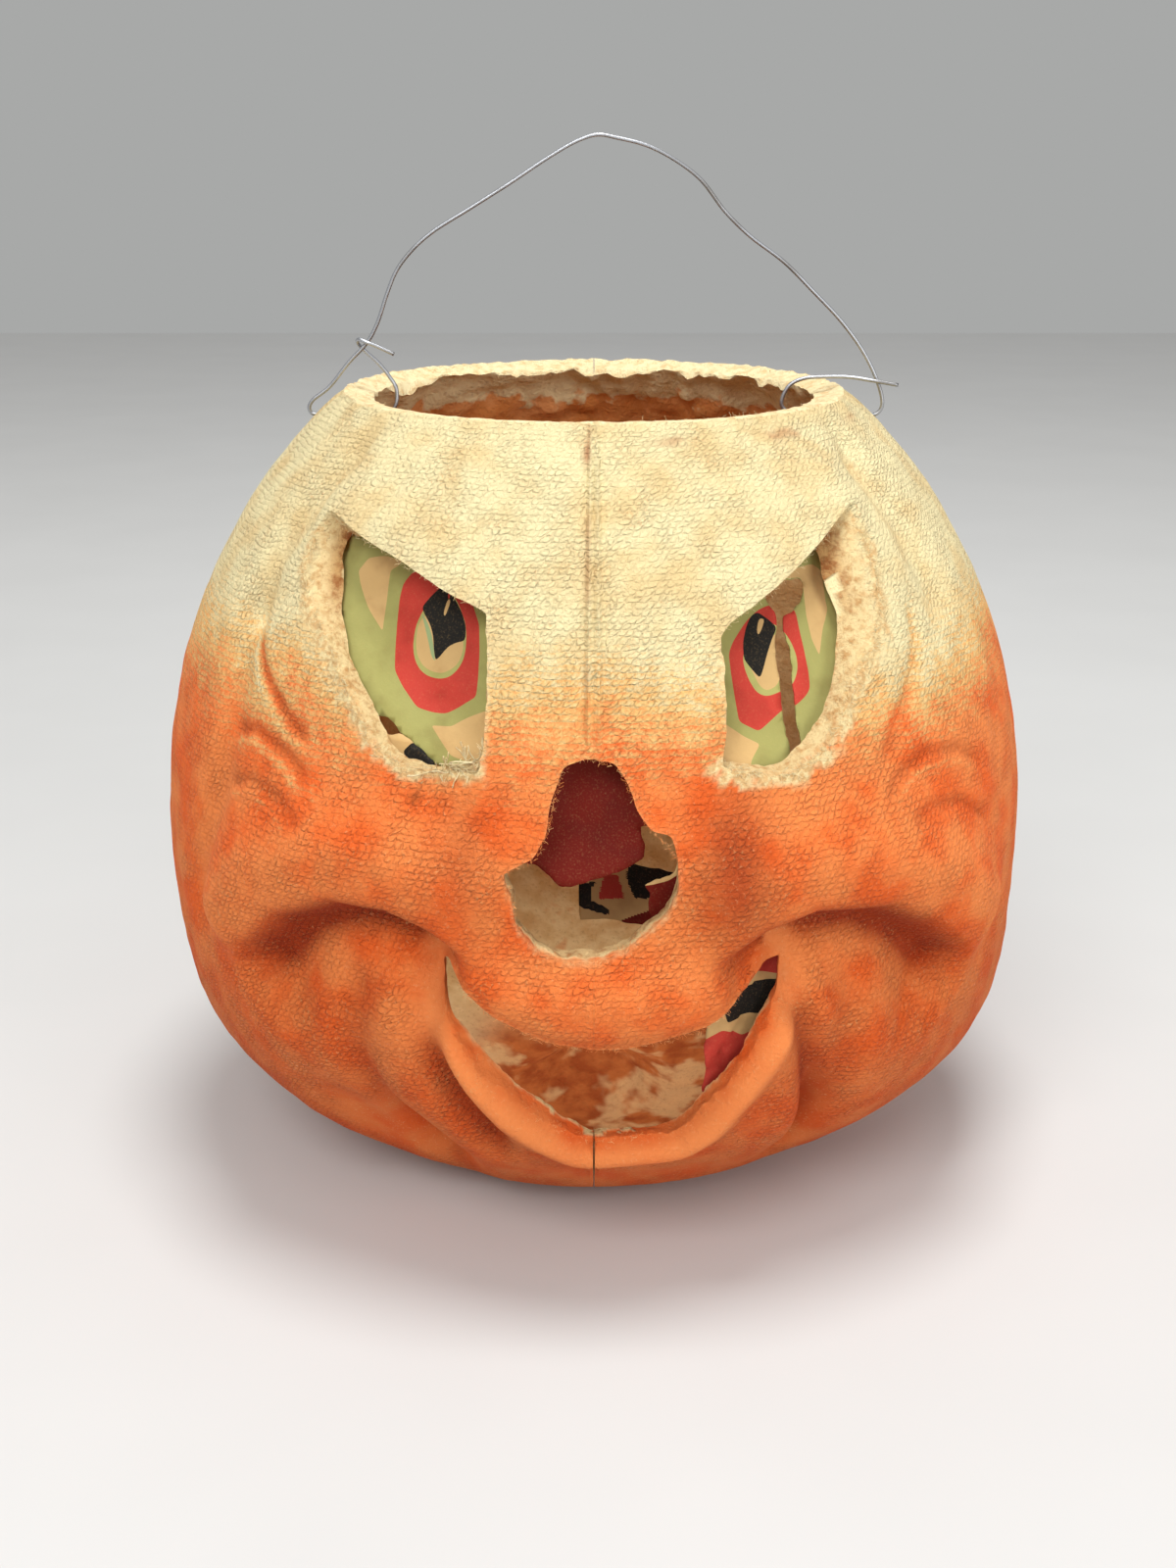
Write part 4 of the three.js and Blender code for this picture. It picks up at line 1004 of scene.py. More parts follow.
LEFT_EYE_PAPER = [
    [-40.6, 113], [-35, 120.5], [-12, 116], [-10, 100], [-11, 84], [-20, 84], [-22.7, 87.4], [-25.5, 89.3],
    [-27.2, 90.7], [-29.1, 92.2], [-31.2, 93.6], [-33.2, 93.5], [-36, 95.6], [-37.8, 99.6], [-39.4, 104.4],
    [-38.4, 106.4], [-40.6, 109],
]
LEFT_EYE_ART = [
    (CREAM, [[-36.2, 112.3], [-34.6, 114.2], [-31.6, 114.8], [-29, 114.5], [-29.7, 113.7], [-31, 112.9],
             [-31.2, 111.2], [-31.4, 109], [-32, 104.6], [-34.3, 107.6], [-35.8, 110.6]], 0),
    (RED, [[-22, 115.5], [-24.6, 114], [-27.1, 113.3], [-27.8, 112.7], [-28.9, 111.3], [-29.4, 109.3],
           [-29.7, 105.8], [-29.9, 102.1], [-29.9, 99.6], [-28.6, 97.7], [-26.3, 95.1], [-24.1, 94.6],
           [-21.9, 94.5], [-20.2, 95.4], [-18.6, 96.5], [-17.4, 97.2], [-17.1, 99.6], [-16.9, 103.3],
           [-17, 107], [-17.9, 109.3], [-18.6, 111.6], [-20, 114.5]], 1),
    (LENS, [[-25.9, 107.7], [-26.7, 106.1], [-27.1, 103.9], [-27.1, 102.2], [-26.6, 100.7], [-25.8, 99.8],
            [-24.7, 99.2], [-23, 99.1], [-21.4, 99.6], [-20, 100.9], [-19.2, 102.4], [-18.9, 104.4],
            [-19, 106.8], [-20.1, 109.4], [-21.2, 111], [-22.9, 111.1], [-24.5, 110]], 4),
    (CREAM, [[-25.9, 107.1], [-26.5, 105.7], [-26.7, 103.7], [-26.5, 102], [-25.7, 100.7], [-24.4, 100],
             [-22.7, 99.9], [-21.1, 100.7], [-20, 101.7], [-19.4, 103.2], [-19.3, 104.5], [-20.3, 106.7],
             [-22.8, 109], [-24.5, 107.8]], 3),
    (PALE, [[-25.9, 107.9], [-24.9, 106.6], [-24.2, 104.9], [-23.9, 103.2], [-23.6, 101.3], [-24.3, 102.2],
            [-24.7, 103.9], [-25.1, 105.3]], 1),
    (BLACK, [[-22.9, 111.6], [-24.5, 110.1], [-25.9, 108.5], [-25.3, 107.5], [-24.5, 106.4], [-24, 104.9],
             [-23.9, 103.2], [-23.6, 101.5], [-22.8, 102.4], [-21.7, 103.7], [-20.3, 104.4], [-19.1, 104.6],
             [-19, 106.4], [-19.6, 108.3], [-20.6, 109.9], [-21.6, 111.2]], 1),
    (RED, [[-21.6, 112], [-21.9, 110], [-21.5, 110]], 0),
    (CREAM, [[-21.4, 110.1], [-21.6, 109.1], [-22.3, 107.5], [-22.5, 108], [-22.2, 109], [-21.8, 110.1]], 0),
    (CREAM, [[-24.1, 92.9], [-21.1, 92.9], [-19.1, 94], [-14, 96.4], [-13, 88], [-17.2, 88], [-21.1, 89.2],
             [-22.7, 91.1]], 0),
]
RIGHT_EYE_PAPER = [
    [34, 120], [41, 113], [42, 100], [37, 89], [31, 84], [13, 84], [13, 105], [17, 113],
]
RIGHT_EYE_TEAR = [
    [25.7, 111.6], [27.7, 111.9], [31.5, 111.7], [31.9, 110.4], [31.5, 108.5], [30.5, 108.1],
    [30.2, 107.3], [28.5, 107.2], [28.5, 106], [28.8, 104], [29.5, 102.6], [29.8, 99.6], [30, 96.3],
    [30.6, 91.4], [31.4, 87.6], [29.4, 87.4], [28.9, 90.6], [28.3, 92.7], [28, 96.1], [27.8, 99.1],
    [27.1, 102.2], [27.1, 104.6], [27.6, 106], [27.2, 107.6], [26.2, 109.1], [25.4, 110.7],
]
RIGHT_EYE_ART = [
    (RED, [[26.2, 108.9], [24.5, 108.3], [22.8, 107], [21.7, 105.7], [20.6, 104.3], [20, 102.9],
           [20.3, 100.4], [20.8, 97.3], [21.5, 93.5], [24.5, 91.8], [28, 94.3], [30.3, 94.7], [32, 95.8],
           [32.6, 96.7], [32.4, 99], [31.7, 102.3], [31, 105.1], [30.5, 107.6], [28.5, 108.4]], 1),
    (LENS, [[22.1, 102.4], [22.3, 100.9], [23, 99.1], [24.1, 97.3], [25.5, 96.5], [27.2, 96.7],
            [28.3, 97], [29.9, 97.6], [30.7, 99.3], [30.6, 101.3], [29.7, 103.5], [28.4, 105.3],
            [27, 106.4], [24.5, 106.4]], 3),
    (CREAM, [[22.9, 101.6], [23.6, 100.1], [24.7, 98], [25.8, 97.2], [27.5, 97.8], [27.9, 99.1],
             [29.5, 99.6], [29.3, 101.7], [28.4, 103.7], [27, 105.1], [24.7, 103.9]], 2),
    (BLACK, [[24.5, 108.1], [23.5, 107.7], [22.7, 106.1], [22.2, 104.1], [22.3, 101.9], [23.6, 100.3],
             [24.8, 99], [25.4, 100.6], [26, 102.5], [26.7, 104.4], [27.5, 105.8], [26.2, 106.9],
             [25.3, 107.5]], 1),
    (CREAM, [[24.8, 107.2], [25.6, 107], [25.2, 105.8], [24.6, 104.8], [24.4, 105.2], [24.5, 106.4]], 0),
    (CREAM, [[27, 115], [29.2, 113.2], [31.3, 113.4], [33.4, 113.6], [34.8, 112.6], [35.2, 110.4],
             [35.4, 108.2], [35.7, 107.2], [34.8, 104.6], [34.2, 101], [33, 103.4], [32.2, 106.7],
             [31.9, 110.4], [31.5, 111.9], [27, 112.2]], 0),
    (CREAM, [[17, 95], [20.5, 92.6], [22.2, 91.4], [24.7, 90.1], [23.3, 88.2], [22.7, 85], [15, 85],
             [15, 92.1]], 0),
]
EYE_SCRAP = [[-36, 91], [-32.2, 91.2], [-28.5, 91.4], [-26.2, 90.2], [-23.6, 88.4], [-23, 83], [-34, 83]]
EYE_SCRAP_ART = [(BLACK, [[-28.3, 89.2], [-26.9, 90.6], [-22, 89.6], [-22, 84], [-27.5, 86.4]], 0)]
NOSE_PAPER = [
    [-9, 95], [12, 95], [12, 84], [15, 82.6], [14.4, 80.6], [9.8, 80.4], [6.6, 80.4], [6.8, 78.9],
    [7.7, 77.2], [7.4, 75.6], [5, 74.2], [2.6, 73.1], [-0.1, 72.3], [-1.9, 71.9], [-3.7, 71.3],
    [-4.9, 71.5], [-6.9, 73.2], [-8.5, 74.4], [-10.4, 74.9], [-16, 76.4], [-16.4, 82.6], [-9.2, 83],
]
NOSE_SCRAP = [
    [7.4, 71.3], [8, 71.7], [9.8, 72], [11.9, 72.7], [12.4, 74.1], [12.6, 76.4], [17.6, 77], [17.6, 63.6],
    [10.4, 63.4], [8.3, 66.8], [8.1, 68.4], [8.4, 70],
]
NOSE_SCRAP_ART = [
    (CREAM, [[7.2, 71.2], [7.8, 72], [10.7, 72.9], [11.8, 73.6], [12.2, 76.6], [13, 76.4], [12.7, 72.8],
             [11, 71.8], [8.6, 71.3]], 0),
]
MOUTH_PAPER = [
    [16.8, 33.6], [17.5, 37.8], [17, 43], [17.4, 47.8], [18, 56], [26.6, 56.6], [27.4, 66], [38, 66],
    [42, 54], [36, 36], [24, 29.7],
]
MOUTH_ART = [
    (CREAM, [[14, 50.4], [20.5, 52.4], [23.5, 53], [30, 52.4], [40, 56], [40, 42], [14, 42]], 0),
    (BLACK, [[19.6, 50.4], [21, 51.4], [23.5, 51.9], [28.5, 51.6], [31, 52.6], [31, 46], [28.3, 46.3],
             [24.1, 47.7], [20.5, 47]], 0),
    (RED, [[14, 43.8], [17, 44.6], [19.7, 45.9], [22.9, 44.2], [27, 45.4], [34, 47], [38, 40], [36, 28],
           [14, 28]], 0),
]
# The torn end of the mouth's paper leaves the wall and curls inwards, behind the nose.
# Its route is in x and distance in front of the middle.
CURL_ROUTE = [[33, 57], [21, 54.5], [12, 50], [4, 46.5], [-2, 45.5]]
CURL_LOW = 56.4
CURL_HIGH = 66.4
CURL_ART = [
    (BLACK, [[5.4, 65.6], [6.9, 68.1], [15, 68.4], [15.1, 66.5], [13.2, 65.6], [10.7, 64.3], [8.8, 63.7],
             [8.9, 61.1], [6.5, 60.6], [5.1, 64]], 0),
    (RED, [[1.7, 64], [3.8, 64.3], [4.9, 60.3], [0.9, 59.8], [1, 61.8]], 0),
    (BLACK, [[-2.4, 62.3], [0.4, 62.9], [-0.4, 61.7], [-0.6, 59.6], [1.4, 58.8], [2.8, 57.7], [2.1, 57.2],
             [-2.4, 58.4]], 0),
    (DARK_RED, [[3.6, 56], [6.3, 57.5], [9.5, 59.3], [14, 60.4], [14, 54], [3.6, 54]], 0),
]


def inside_outline(outline, x, z):
    within = np.zeros(np.shape(x), bool)
    for (x0, z0), (x1, z1) in zip(outline, np.roll(outline, -1, 0)):
        crosses = (z0 > z) != (z1 > z)
        with np.errstate(divide="ignore", invalid="ignore"):
            at = (x1 - x0) * (z - z0) / (z1 - z0) + x0
        within ^= crosses & (x < at)
    return within


def paper_sheet(outline, art, ground, tears=(), ragged=0.22):
    """Flat triangles of a printed paper with the colour of each, trimmed to a ragged outline."""
    edge = resampled(outline, 0.5, 1)
    spread = np.stack([edge[:, 0], 0 * edge[:, 0], edge[:, 1]], 1)
    uneven = ragged * (lumps(spread, 1.6) + 0.6 * lumps(spread, 0.7, 3))
    edge = edge + outline_normals(edge) * uneven[:, None]
    loops = [edge]
    holes = []
    for tear in tears:
        hole = resampled(tear, 0.45, 1)
        spread = np.stack([hole[:, 0], 0 * hole[:, 0], hole[:, 1]], 1)
        hole = hole + 0.16 * outline_normals(hole) * lumps(spread, 0.9)[:, None]
        holes.append(hole)
        loops.append(hole)
    shapes = []
    for ink, shape, rounding in art:
        line = resampled(shape, 0.4, rounding + 1)
        shapes.append((ink, line))
        loops.append(line)
    low, high = edge.min(0), edge.max(0)
    fill = np.array([
        [x + 0.3 * math.sin(7.1 * x + z), z] for x in np.arange(low[0], high[0], 1.1)
        for z in np.arange(low[1], high[1], 1.1)])
    places = [Vector(p) for p in np.vstack(loops + [fill])]
    edges, first = [], 0
    for loop in loops:
        count = len(loop)
        edges += [(first + i, first + (i + 1) % count) for i in range(count)]
        first += count
    corners, _, faces, _, _, _ = delaunay_2d_cdt(places, edges, [], 0, 1e-5)
    corners = np.array([tuple(c) for c in corners])
    faces = np.array([f for f in faces if len(f) == 3])
    middles = corners[faces].mean(1)
    keep = inside_outline(edge, *middles.T)
    for hole in holes:
        keep &= ~inside_outline(hole, *middles.T)
    faces, middles = faces[keep], middles[keep]
    inks = np.tile(np.array(ground), (len(faces), 1))
    for ink, line in shapes:
        inks[inside_outline(line, *middles.T)] = ink
    used, faces = np.unique(faces, return_inverse=True)
    return corners[used], faces.reshape(-1, 3), inks, edge


def printed(name, points, faces, inks, thickness=0.18):
    """A thin sheet of paper from its front side, with its inks."""
    mesh = bpy.data.meshes.new(name)
    mesh.from_pydata((points * MM).tolist(), [], faces.tolist())
    ink = mesh.color_attributes.new("ink", "FLOAT_COLOR", "CORNER")
    ink.data.foreach_set("color", np.repeat(inks, 3, 0).astype(np.float32).ravel())
    mesh.polygons.foreach_set("use_smooth", [True] * len(mesh.polygons))
    sheet = new_object(name, mesh)
    solid = sheet.modifiers.new("thickness", "SOLIDIFY")
    solid.thickness = thickness * MM
    solid.offset = -1
    return settled(sheet, name)


def facing_front(points, faces):
    """Turns the triangles so that they face the front."""
    a, b, c = points[faces[:, 0]], points[faces[:, 1]], points[faces[:, 2]]
    back = np.cross(b - a, c - a)[:, 1] > 0
    faces = faces.copy()
    faces[back] = faces[back][:, ::-1]
    return faces


def pasted_print(name, outline, art, ground, inset, slack, tears=(), curl=0.0):
    """A print inside the front wall, slack in its middle and crumpled; its free edge curls by curl, which is
    0 unless given.
    """
    flat, faces, inks, edge = paper_sheet(outline, art, ground, tears)
    x, z = flat.T
    distance, _, _ = nearest_on(edge, x, z, closed=True)
    depth = inset + slack * smooth(0, 8, distance)
    for tear in tears:
        near, _, _ = nearest_on(tear, x, z, closed=True)
        depth = depth + 0.5 * bump(near, 1.2) * lumps(np.stack([x, 0 * x, z], 1), 3.0)
    points = front_wall(x, z, inner_relief, depth)
    crumple = 0.45 * lumps(points, 7.0, 1.7) + 0.18 * lumps(points, 3.0, 6.1)
    points[:, 1] += crumple * smooth(0, 4, distance) + curl * bump(distance, 1.6)
    return printed(name, points, facing_front(points, faces), inks)


def curled_end(name, route, low, high, art, ground, inset):
    """The free end of a print: it leaves the wall at the route's start and bends inwards."""
    line = through_points(np.array([[x, -front, 0] for x, front in route], float), 16)
    heights = np.linspace(low, high, 37)
    part = np.linspace(0, 1, len(line))
    ragged = 0.5 * lumps(np.stack([0 * heights + 40, 0 * heights, heights], 1), 2.2)
    start = math.asin(route[0][0] / float(radius_at(high)))
    rows = []
    for z, short in zip(heights, ragged):
        fixed = body_points(start * (1 - 0.6 * part), z, inner_relief, inset)
        loose = line + [0, 0, z] + np.outer(smooth(0.8, 1, part), [short, 0, 0])
        free = smooth(0.08, 0.6, part)[:, None]
        rows.append(fixed + (loose - fixed) * free)
    rows = np.array(rows)
    edge = rows[[0, -1]]
    edge[..., 2] += 0.35 * lumps(edge, 1.8)
    rows[[0, -1]] = edge
    rows[..., 1] += 0.25 * lumps(rows, 5.0, 2.1)
    points = rows.reshape(-1, 3)
    ids = np.arange(len(points)).reshape(rows.shape[:2])
    quads = np.array(grid_faces(ids))
    faces = np.vstack([quads[:, [0, 1, 2]], quads[:, [0, 2, 3]]])
    middles = points[faces].mean(1)
    inks = np.tile(np.array(ground), (len(faces), 1))
    for ink, shape, rounding in art:
        inks[inside_outline(resampled(shape, 0.4, rounding + 1), middles[:, 0], middles[:, 2])] = ink
    return printed(name, points, facing_front(points, faces), inks)


# Wire bail

BAIL_SHAPE = [
    [-0.895, 0.19], [-0.853, 0.266], [-0.811, 0.383], [-0.769, 0.478], [-0.708, 0.556], [-0.631, 0.624],
    [-0.477, 0.72], [-0.325, 0.815], [-0.173, 0.915], [-0.061, 0.978], [0.014, 1], [0.089, 0.988],
    [0.203, 0.959], [0.315, 0.902], [0.411, 0.829], [0.507, 0.707], [0.605, 0.612], [0.741, 0.51],
    [0.86, 0.393], [0.981, 0.266], [1.075, 0.136],
]


def bail_route():
    top = RIM_HEIGHT
    hole = top - WIRE_HOLE_DROP
    across = math.hypot(1, float(slope_at(RIM_HEIGHT))) * WALL
    inner_edge = RIM_RADIUS - across
    hole_radius = float(radius_at(hole))
    outside = hole_radius + WIRE_RUNOUT
    inside = hole_radius - across - WIRE_RUNOUT
    leg = inner_edge - LEG_INSET
    side = WIRE_CROSSING
    hook = top + HOOK_HEIGHT
    lead = top + LEAD_HEIGHT
    points = [
        [-leg, -side, hook - 1.5], [-leg - 2.6, -side, hook - 0.3], [-leg - 4.6, -side, hook + 0.5],
        [-leg - 5.9, -side * 0.5, hook + 0.9], [-leg - 6.3, side * 0.5, hook + 0.2],
        [-leg - 5.1, side, hook - 1.3], [-leg - 3.2, side, hook - 3], [-leg - 1.2, side * 0.8, top + 2],
        [-leg, side * 0.4, top], [-leg - 0.1, 0, hole + 1.6], [-leg - 1.1, 0, hole + 0.4],
        [-leg - 2.6, 0, hole], [-inside, 0, hole], [-outside + 1.1, 0, hole], [-outside + 0.3, 0, hole + 0.3],
        [-outside, 0, hole + 1.1], [-outside + 0.5, 0, hole + 2.2],
        [-RIM_RADIUS - 2.4, 0, top + 0.2], [-RIM_RADIUS + 1.2, 0, top + 4.4],
    ]
    points += [[share * RIM_RADIUS, 0, top + BAIL_SHARE * rise * BAIL_RISE] for share, rise in BAIL_SHAPE]
    points += [
        [RIM_RADIUS + 5.8, 0, top + 0.4], [outside + 0.6, 0, hole + 1.9], [outside + 0.3, 0, hole + 0.7],
        [outside - 0.5, 0, hole], [outside - 1.7, 0, hole], [inside, 0, hole], [leg + 1.2, 0, hole],
        [leg - 0.6, 0, hole + 0.4], [leg - 1.6, 0, hole + 1.5], [leg - 1.5, 0, top - 1.4],
        [leg - 0.4, 0, top + 0.6], [leg + 1.8, 0, lead - 0.2], [leg + 5, 0, lead + 0.1],
        [RIM_RADIUS + 0.6, -side * 0.2, lead + 0.1], [RIM_RADIUS + 4.6, -side, lead - 0.4],
        [RIM_RADIUS + TAIL_REACH, -side * 1.2, lead - 1.1],
    ]
    return np.array(points, float)


def through_points(points, steps):
    """A smooth line through the points, with that many steps between each two."""
    ends = np.vstack([2 * points[0] - points[1], points, 2 * points[-1] - points[-2]])
    line = []
    for p0, p1, p2, p3 in zip(ends[:-3], ends[1:-2], ends[2:-1], ends[3:]):
        t0, t1, t2 = (math.sqrt(np.linalg.norm(b - a)) for a, b in ((p0, p1), (p1, p2), (p2, p3)))
        m1 = ((p1 - p0) / t0 - (p2 - p0) / (t0 + t1) + (p2 - p1) / t1) * t1
        m2 = ((p2 - p1) / t1 - (p3 - p1) / (t1 + t2) + (p3 - p2) / t2) * t1
        for part in np.arange(steps) / steps:
            a = 2 * p1 - 2 * p2 + m1 + m2
            b = -3 * p1 + 3 * p2 - 2 * m1 - m2
            line.append(((a * part + b) * part + m1) * part + p1)
    line.append(points[-1])
    return np.array(line)


def wire_mesh(name, line, diameter, sides):
    """A round wire along a line, with closed ends."""
    ahead = np.gradient(line, axis=0)
    ahead /= np.linalg.norm(ahead, axis=1, keepdims=True)
    up = np.cross(ahead[0], [0.3, 1, 0.2])
    up /= np.linalg.norm(up)
    turn = np.linspace(0, 2 * math.pi, sides, endpoint=False)
    rings = []
    for place, direction in zip(line, ahead):
        up = up - direction * np.dot(up, direction)
        up /= np.linalg.norm(up)
        across = np.cross(direction, up)
        rings.append(place + diameter / 2 * (np.cos(turn)[:, None] * up + np.sin(turn)[:, None] * across))
    count = len(rings)
    faces = [list(range(sides))[::-1], [(count - 1) * sides + i for i in range(sides)]]
    for r in range(count - 1):
        for i in range(sides):
            j = (i + 1) % sides
            faces.append([r * sides + i, r * sides + j, (r + 1) * sides + j, (r + 1) * sides + i])
    mesh = new_mesh(name, np.vstack(rings), faces)
    mesh.polygons.foreach_set("use_smooth", [len(face) == 4 for face in faces])
    return mesh


# Loose fibres of pulp along the torn edges

EYE_EDGES = [
    [[-42.8, 117.2], [-44.6, 112], [-42.4, 106.7], [-39.6, 102.6], [-37.2, 97.8], [-34.2, 93.6],
     [-32.4, 90.3], [-28.6, 88.4], [-23.6, 88], [-16.7, 88.9], [-15.8, 92.6]],
    [[40.6, 118.7], [42, 115.8], [44, 106.2], [41.6, 102.4], [38.6, 97.4], [36.4, 92.6], [33.2, 89],
     [28.8, 87], [24.8, 87.6], [18.4, 89.2]],
]
BROW_EDGES = [
    [[-40, 120.6], [-34.8, 118.4], [-28.4, 116.1], [-15.5, 110.3]],
    [[18.3, 106.9], [19.8, 108.7], [28, 113.8], [38, 121.2]],
]
TUFT_EDGES = [[[-22.6, 88.2], [-18, 89.2], [-16.2, 91]]]
LOWER_EDGES = [
    [[-12.6, 75.4], [-8.6, 77.6], [-6.9, 80.8], [-4.3, 90.4], [-0.8, 91.5], [3.1, 90.7], [8.3, 81.4],
     [12.2, 77]],
    [[-12.6, 73.6], [-11.3, 66.6], [-8.3, 63.2], [-3.7, 61.8], [0.9, 62.1], [4.8, 63.6], [10.5, 68.4]],
    [[-20, 56.2], [-15.4, 52.2], [-6.7, 47.8], [-0.1, 46.6], [5, 46.5], [16.7, 49.6], [22, 53]],
    [[-11.2, 34.4], [-6.2, 30.6], [-0.9, 27.2], [5.2, 27.6], [10, 28.2]],
]


def torn_edge_lines(torn_edges):
    """Wandering lines beside each torn edge, on the outside of the wall and in its thickness."""
    points, edges = [], []
    for line in torn_edges:
        line = np.array(line, float)
        spans = np.concatenate([[0], np.cumsum(np.hypot(*np.diff(line, axis=0).T))])
        along = np.arange(0, spans[-1], 0.5)
        x, z = np.interp(along, spans, line[:, 0]), np.interp(along, spans, line[:, 1])
        for inset, spread, shift in ((0.1, 0.7, 0), (0.5, 0.35, 9), (1.3, 0.2, 17)):
            wander = np.stack([x, 0 * x + shift, z], 1)
            beside = x + spread * lumps(wander, 1.1)
            above = z + spread * lumps(wander, 1.1, 4)
            places = front_wall(beside, above, outer_relief, inset)
            first = len(points)
            points += places.tolist()
            edges += [(first + i, first + i + 1) for i in range(len(x) - 1)]
    return np.array(points), edges


def rim_lines():
    """Wandering lines along the rim where the pulp is fluffy, with room for the wire to pass."""
    points, edges = [], []
    for start, end in ((-2.5, -1.74), (-1.4, -0.95), (0.15, 1.4), (1.74, 2.3)):
        azimuth = np.arange(start, end, 0.012)
        for inset, drop in ((0.3, 0.4), (2.0, 0.1), (3.6, 0.6), (4.0, 2.5)):
            wander = np.stack([40 * azimuth, 0 * azimuth + inset, 0 * azimuth], 1)
            radius = RIM_RADIUS - inset + 0.5 * lumps(wander, 1.5)
            x, y = radius * np.sin(azimuth), -radius * np.cos(azimuth) * DEPTH_RATIO
            first = len(points)
            points += np.stack([x, y, RIM_HEIGHT - drop + 0 * azimuth], 1).tolist()
            edges += [(first + i, first + i + 1) for i in range(len(azimuth) - 1)]
    return np.array(points), edges


def fringe_tree(strand, finish):
    """Strands turned at random along every line."""
    tree = bpy.data.node_groups.new("fringe", "GeometryNodeTree")
    sockets = tree.interface
    sockets.new_socket("Lines", in_out="INPUT", socket_type="NodeSocketGeometry")
    for name in ("Spacing", "Shortest", "Longest"):
        sockets.new_socket(name, in_out="INPUT", socket_type="NodeSocketFloat")
    sockets.new_socket("Seed", in_out="INPUT", socket_type="NodeSocketInt")
    sockets.new_socket("Fringe", in_out="OUTPUT", socket_type="NodeSocketGeometry")
    given = add(tree, "NodeGroupInput").outputs
    curve = add(tree, "GeometryNodeMeshToCurve", {"Mesh": given["Lines"]}).outputs[0]
    places = add(
        tree, "GeometryNodeCurveToPoints", {"Curve": curve, "Length": given["Spacing"]}, mode="LENGTH")
    shape = add(tree, "GeometryNodeObjectInfo", {"Object": strand}).outputs["Geometry"]
    turns = {0: (-3.14, -3.14, -3.14), 1: (3.14, 3.14, 3.14), 8: given["Seed"]}
    turn = add(tree, "FunctionNodeRandomValue", turns, data_type="FLOAT_VECTOR").outputs[0]
    size = add(tree, "FunctionNodeRandomValue", {
        2: given["Shortest"], 3: given["Longest"], 8: given["Seed"]}, data_type="FLOAT").outputs[1]
    strands = add(tree, "GeometryNodeInstanceOnPoints", {
        "Points": places.outputs[0], "Instance": shape, "Rotation": turn, "Scale": size}).outputs[0]
    plain = add(tree, "GeometryNodeRealizeInstances", {0: strands}).outputs[0]
    done = add(tree, "GeometryNodeSetMaterial", {"Geometry": plain, "Material": finish}).outputs[0]
    add(tree, "NodeGroupOutput", {0: done})
    return tree


def loose_fibres(name, lines, longest, spacing, finish):
    steps = np.linspace(0, 1, 5)
    bend = np.stack([0.3 * steps**2, 0.1 * np.sin(5 * steps), steps], 1)
    strand = new_object("strand", wire_mesh("strand", bend, 0.075, 3))
    points, edges = lines
    mesh = bpy.data.meshes.new(name)
    mesh.from_pydata((points * MM).tolist(), edges, [])
    fringe = new_object(name, mesh)
    grown = fringe.modifiers.new("fringe", "NODES")
    tree = fringe_tree(strand, finish)
    grown.node_group = tree
    sizes = {"Spacing": spacing * MM, "Shortest": 0.3, "Longest": longest, "Seed": 5}
    for item in tree.interface.items_tree:
        if item.name in sizes:
            grown[item.identifier] = sizes[item.name]
    fringe = settled(fringe, name)
    bpy.data.objects.remove(strand)
    return fringe


# Put together

PULP = painted_pulp()
RAW = raw_pulp()
TORN = torn_pulp()
LINT = painted_lint()
PAPER = printed_paper()
STEEL = steel_wire()

cutters = {
    "left_eye": opening_cutter("left_eye_tear", LEFT_EYE_HOLE, 0.5),
    "right_eye": opening_cutter("right_eye_tear", RIGHT_EYE_HOLE, 0.5),
    "nose": opening_cutter("nose_tear", NOSE_HOLE, 0.45),
    "mouth": opening_cutter("mouth_tear", MOUTH_HOLE, 0.5),
    "wire": rod_cutter("wire_hole", WIRE_HOLE_DIAMETER, 2 * BODY_RADIUS, RIM_HEIGHT - WIRE_HOLE_DROP),
}
finishes = [PULP, RAW, TORN]
shared = [cutters[opening] for opening in ("nose", "mouth", "wire")]
left_half = shell_half("left_half", -1, [cutters["left_eye"]] + shared, finishes)
right_half = shell_half("right_half", 1, [cutters["right_eye"]] + shared, finishes)
for cutter in cutters.values():
    bpy.data.objects.remove(cutter)
for half, node in ((left_half, "shell_left_half"), (right_half, "shell_right_half")):
    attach(half, "shell")
    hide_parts(node)

prints = [
    (pasted_print("left_eye_print", LEFT_EYE_PAPER, LEFT_EYE_ART, GREEN, 4.4, 1.8),
     "eye_print_left", "eye_print"),
    (pasted_print("right_eye_print", RIGHT_EYE_PAPER, RIGHT_EYE_ART, GREEN, 4.4, 1.8, [RIGHT_EYE_TEAR]),
     "eye_print_right", "eye_print"),
    (pasted_print("left_eye_scrap", EYE_SCRAP, EYE_SCRAP_ART, CREAM, 4.2, 0.6),
     "eye_print_scrap", "mouth_print"),
    (pasted_print("nose_print_paper", NOSE_PAPER, [], DARK_RED, 4.3, 1.2), "nose_print", "nose_print"),
    (pasted_print("nose_scrap", NOSE_SCRAP, NOSE_SCRAP_ART, DARK_RED, 4.8, 0.6),
     "nose_print_scrap", "nose_print"),
    (pasted_print("mouth_print_paper", MOUTH_PAPER, MOUTH_ART, RED, 5.4, 0.4),
     "mouth_print", "mouth_print"),
    (curled_end("mouth_print_curl", CURL_ROUTE, CURL_LOW, CURL_HIGH, CURL_ART, CREAM, 5.5),
     "mouth_print", "mouth_print"),
]
for sheet, node, slot in prints:
    sheet.data.materials.clear()
    sheet.data.materials.append(PAPER)
    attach(sheet, "shell")
    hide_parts(node)

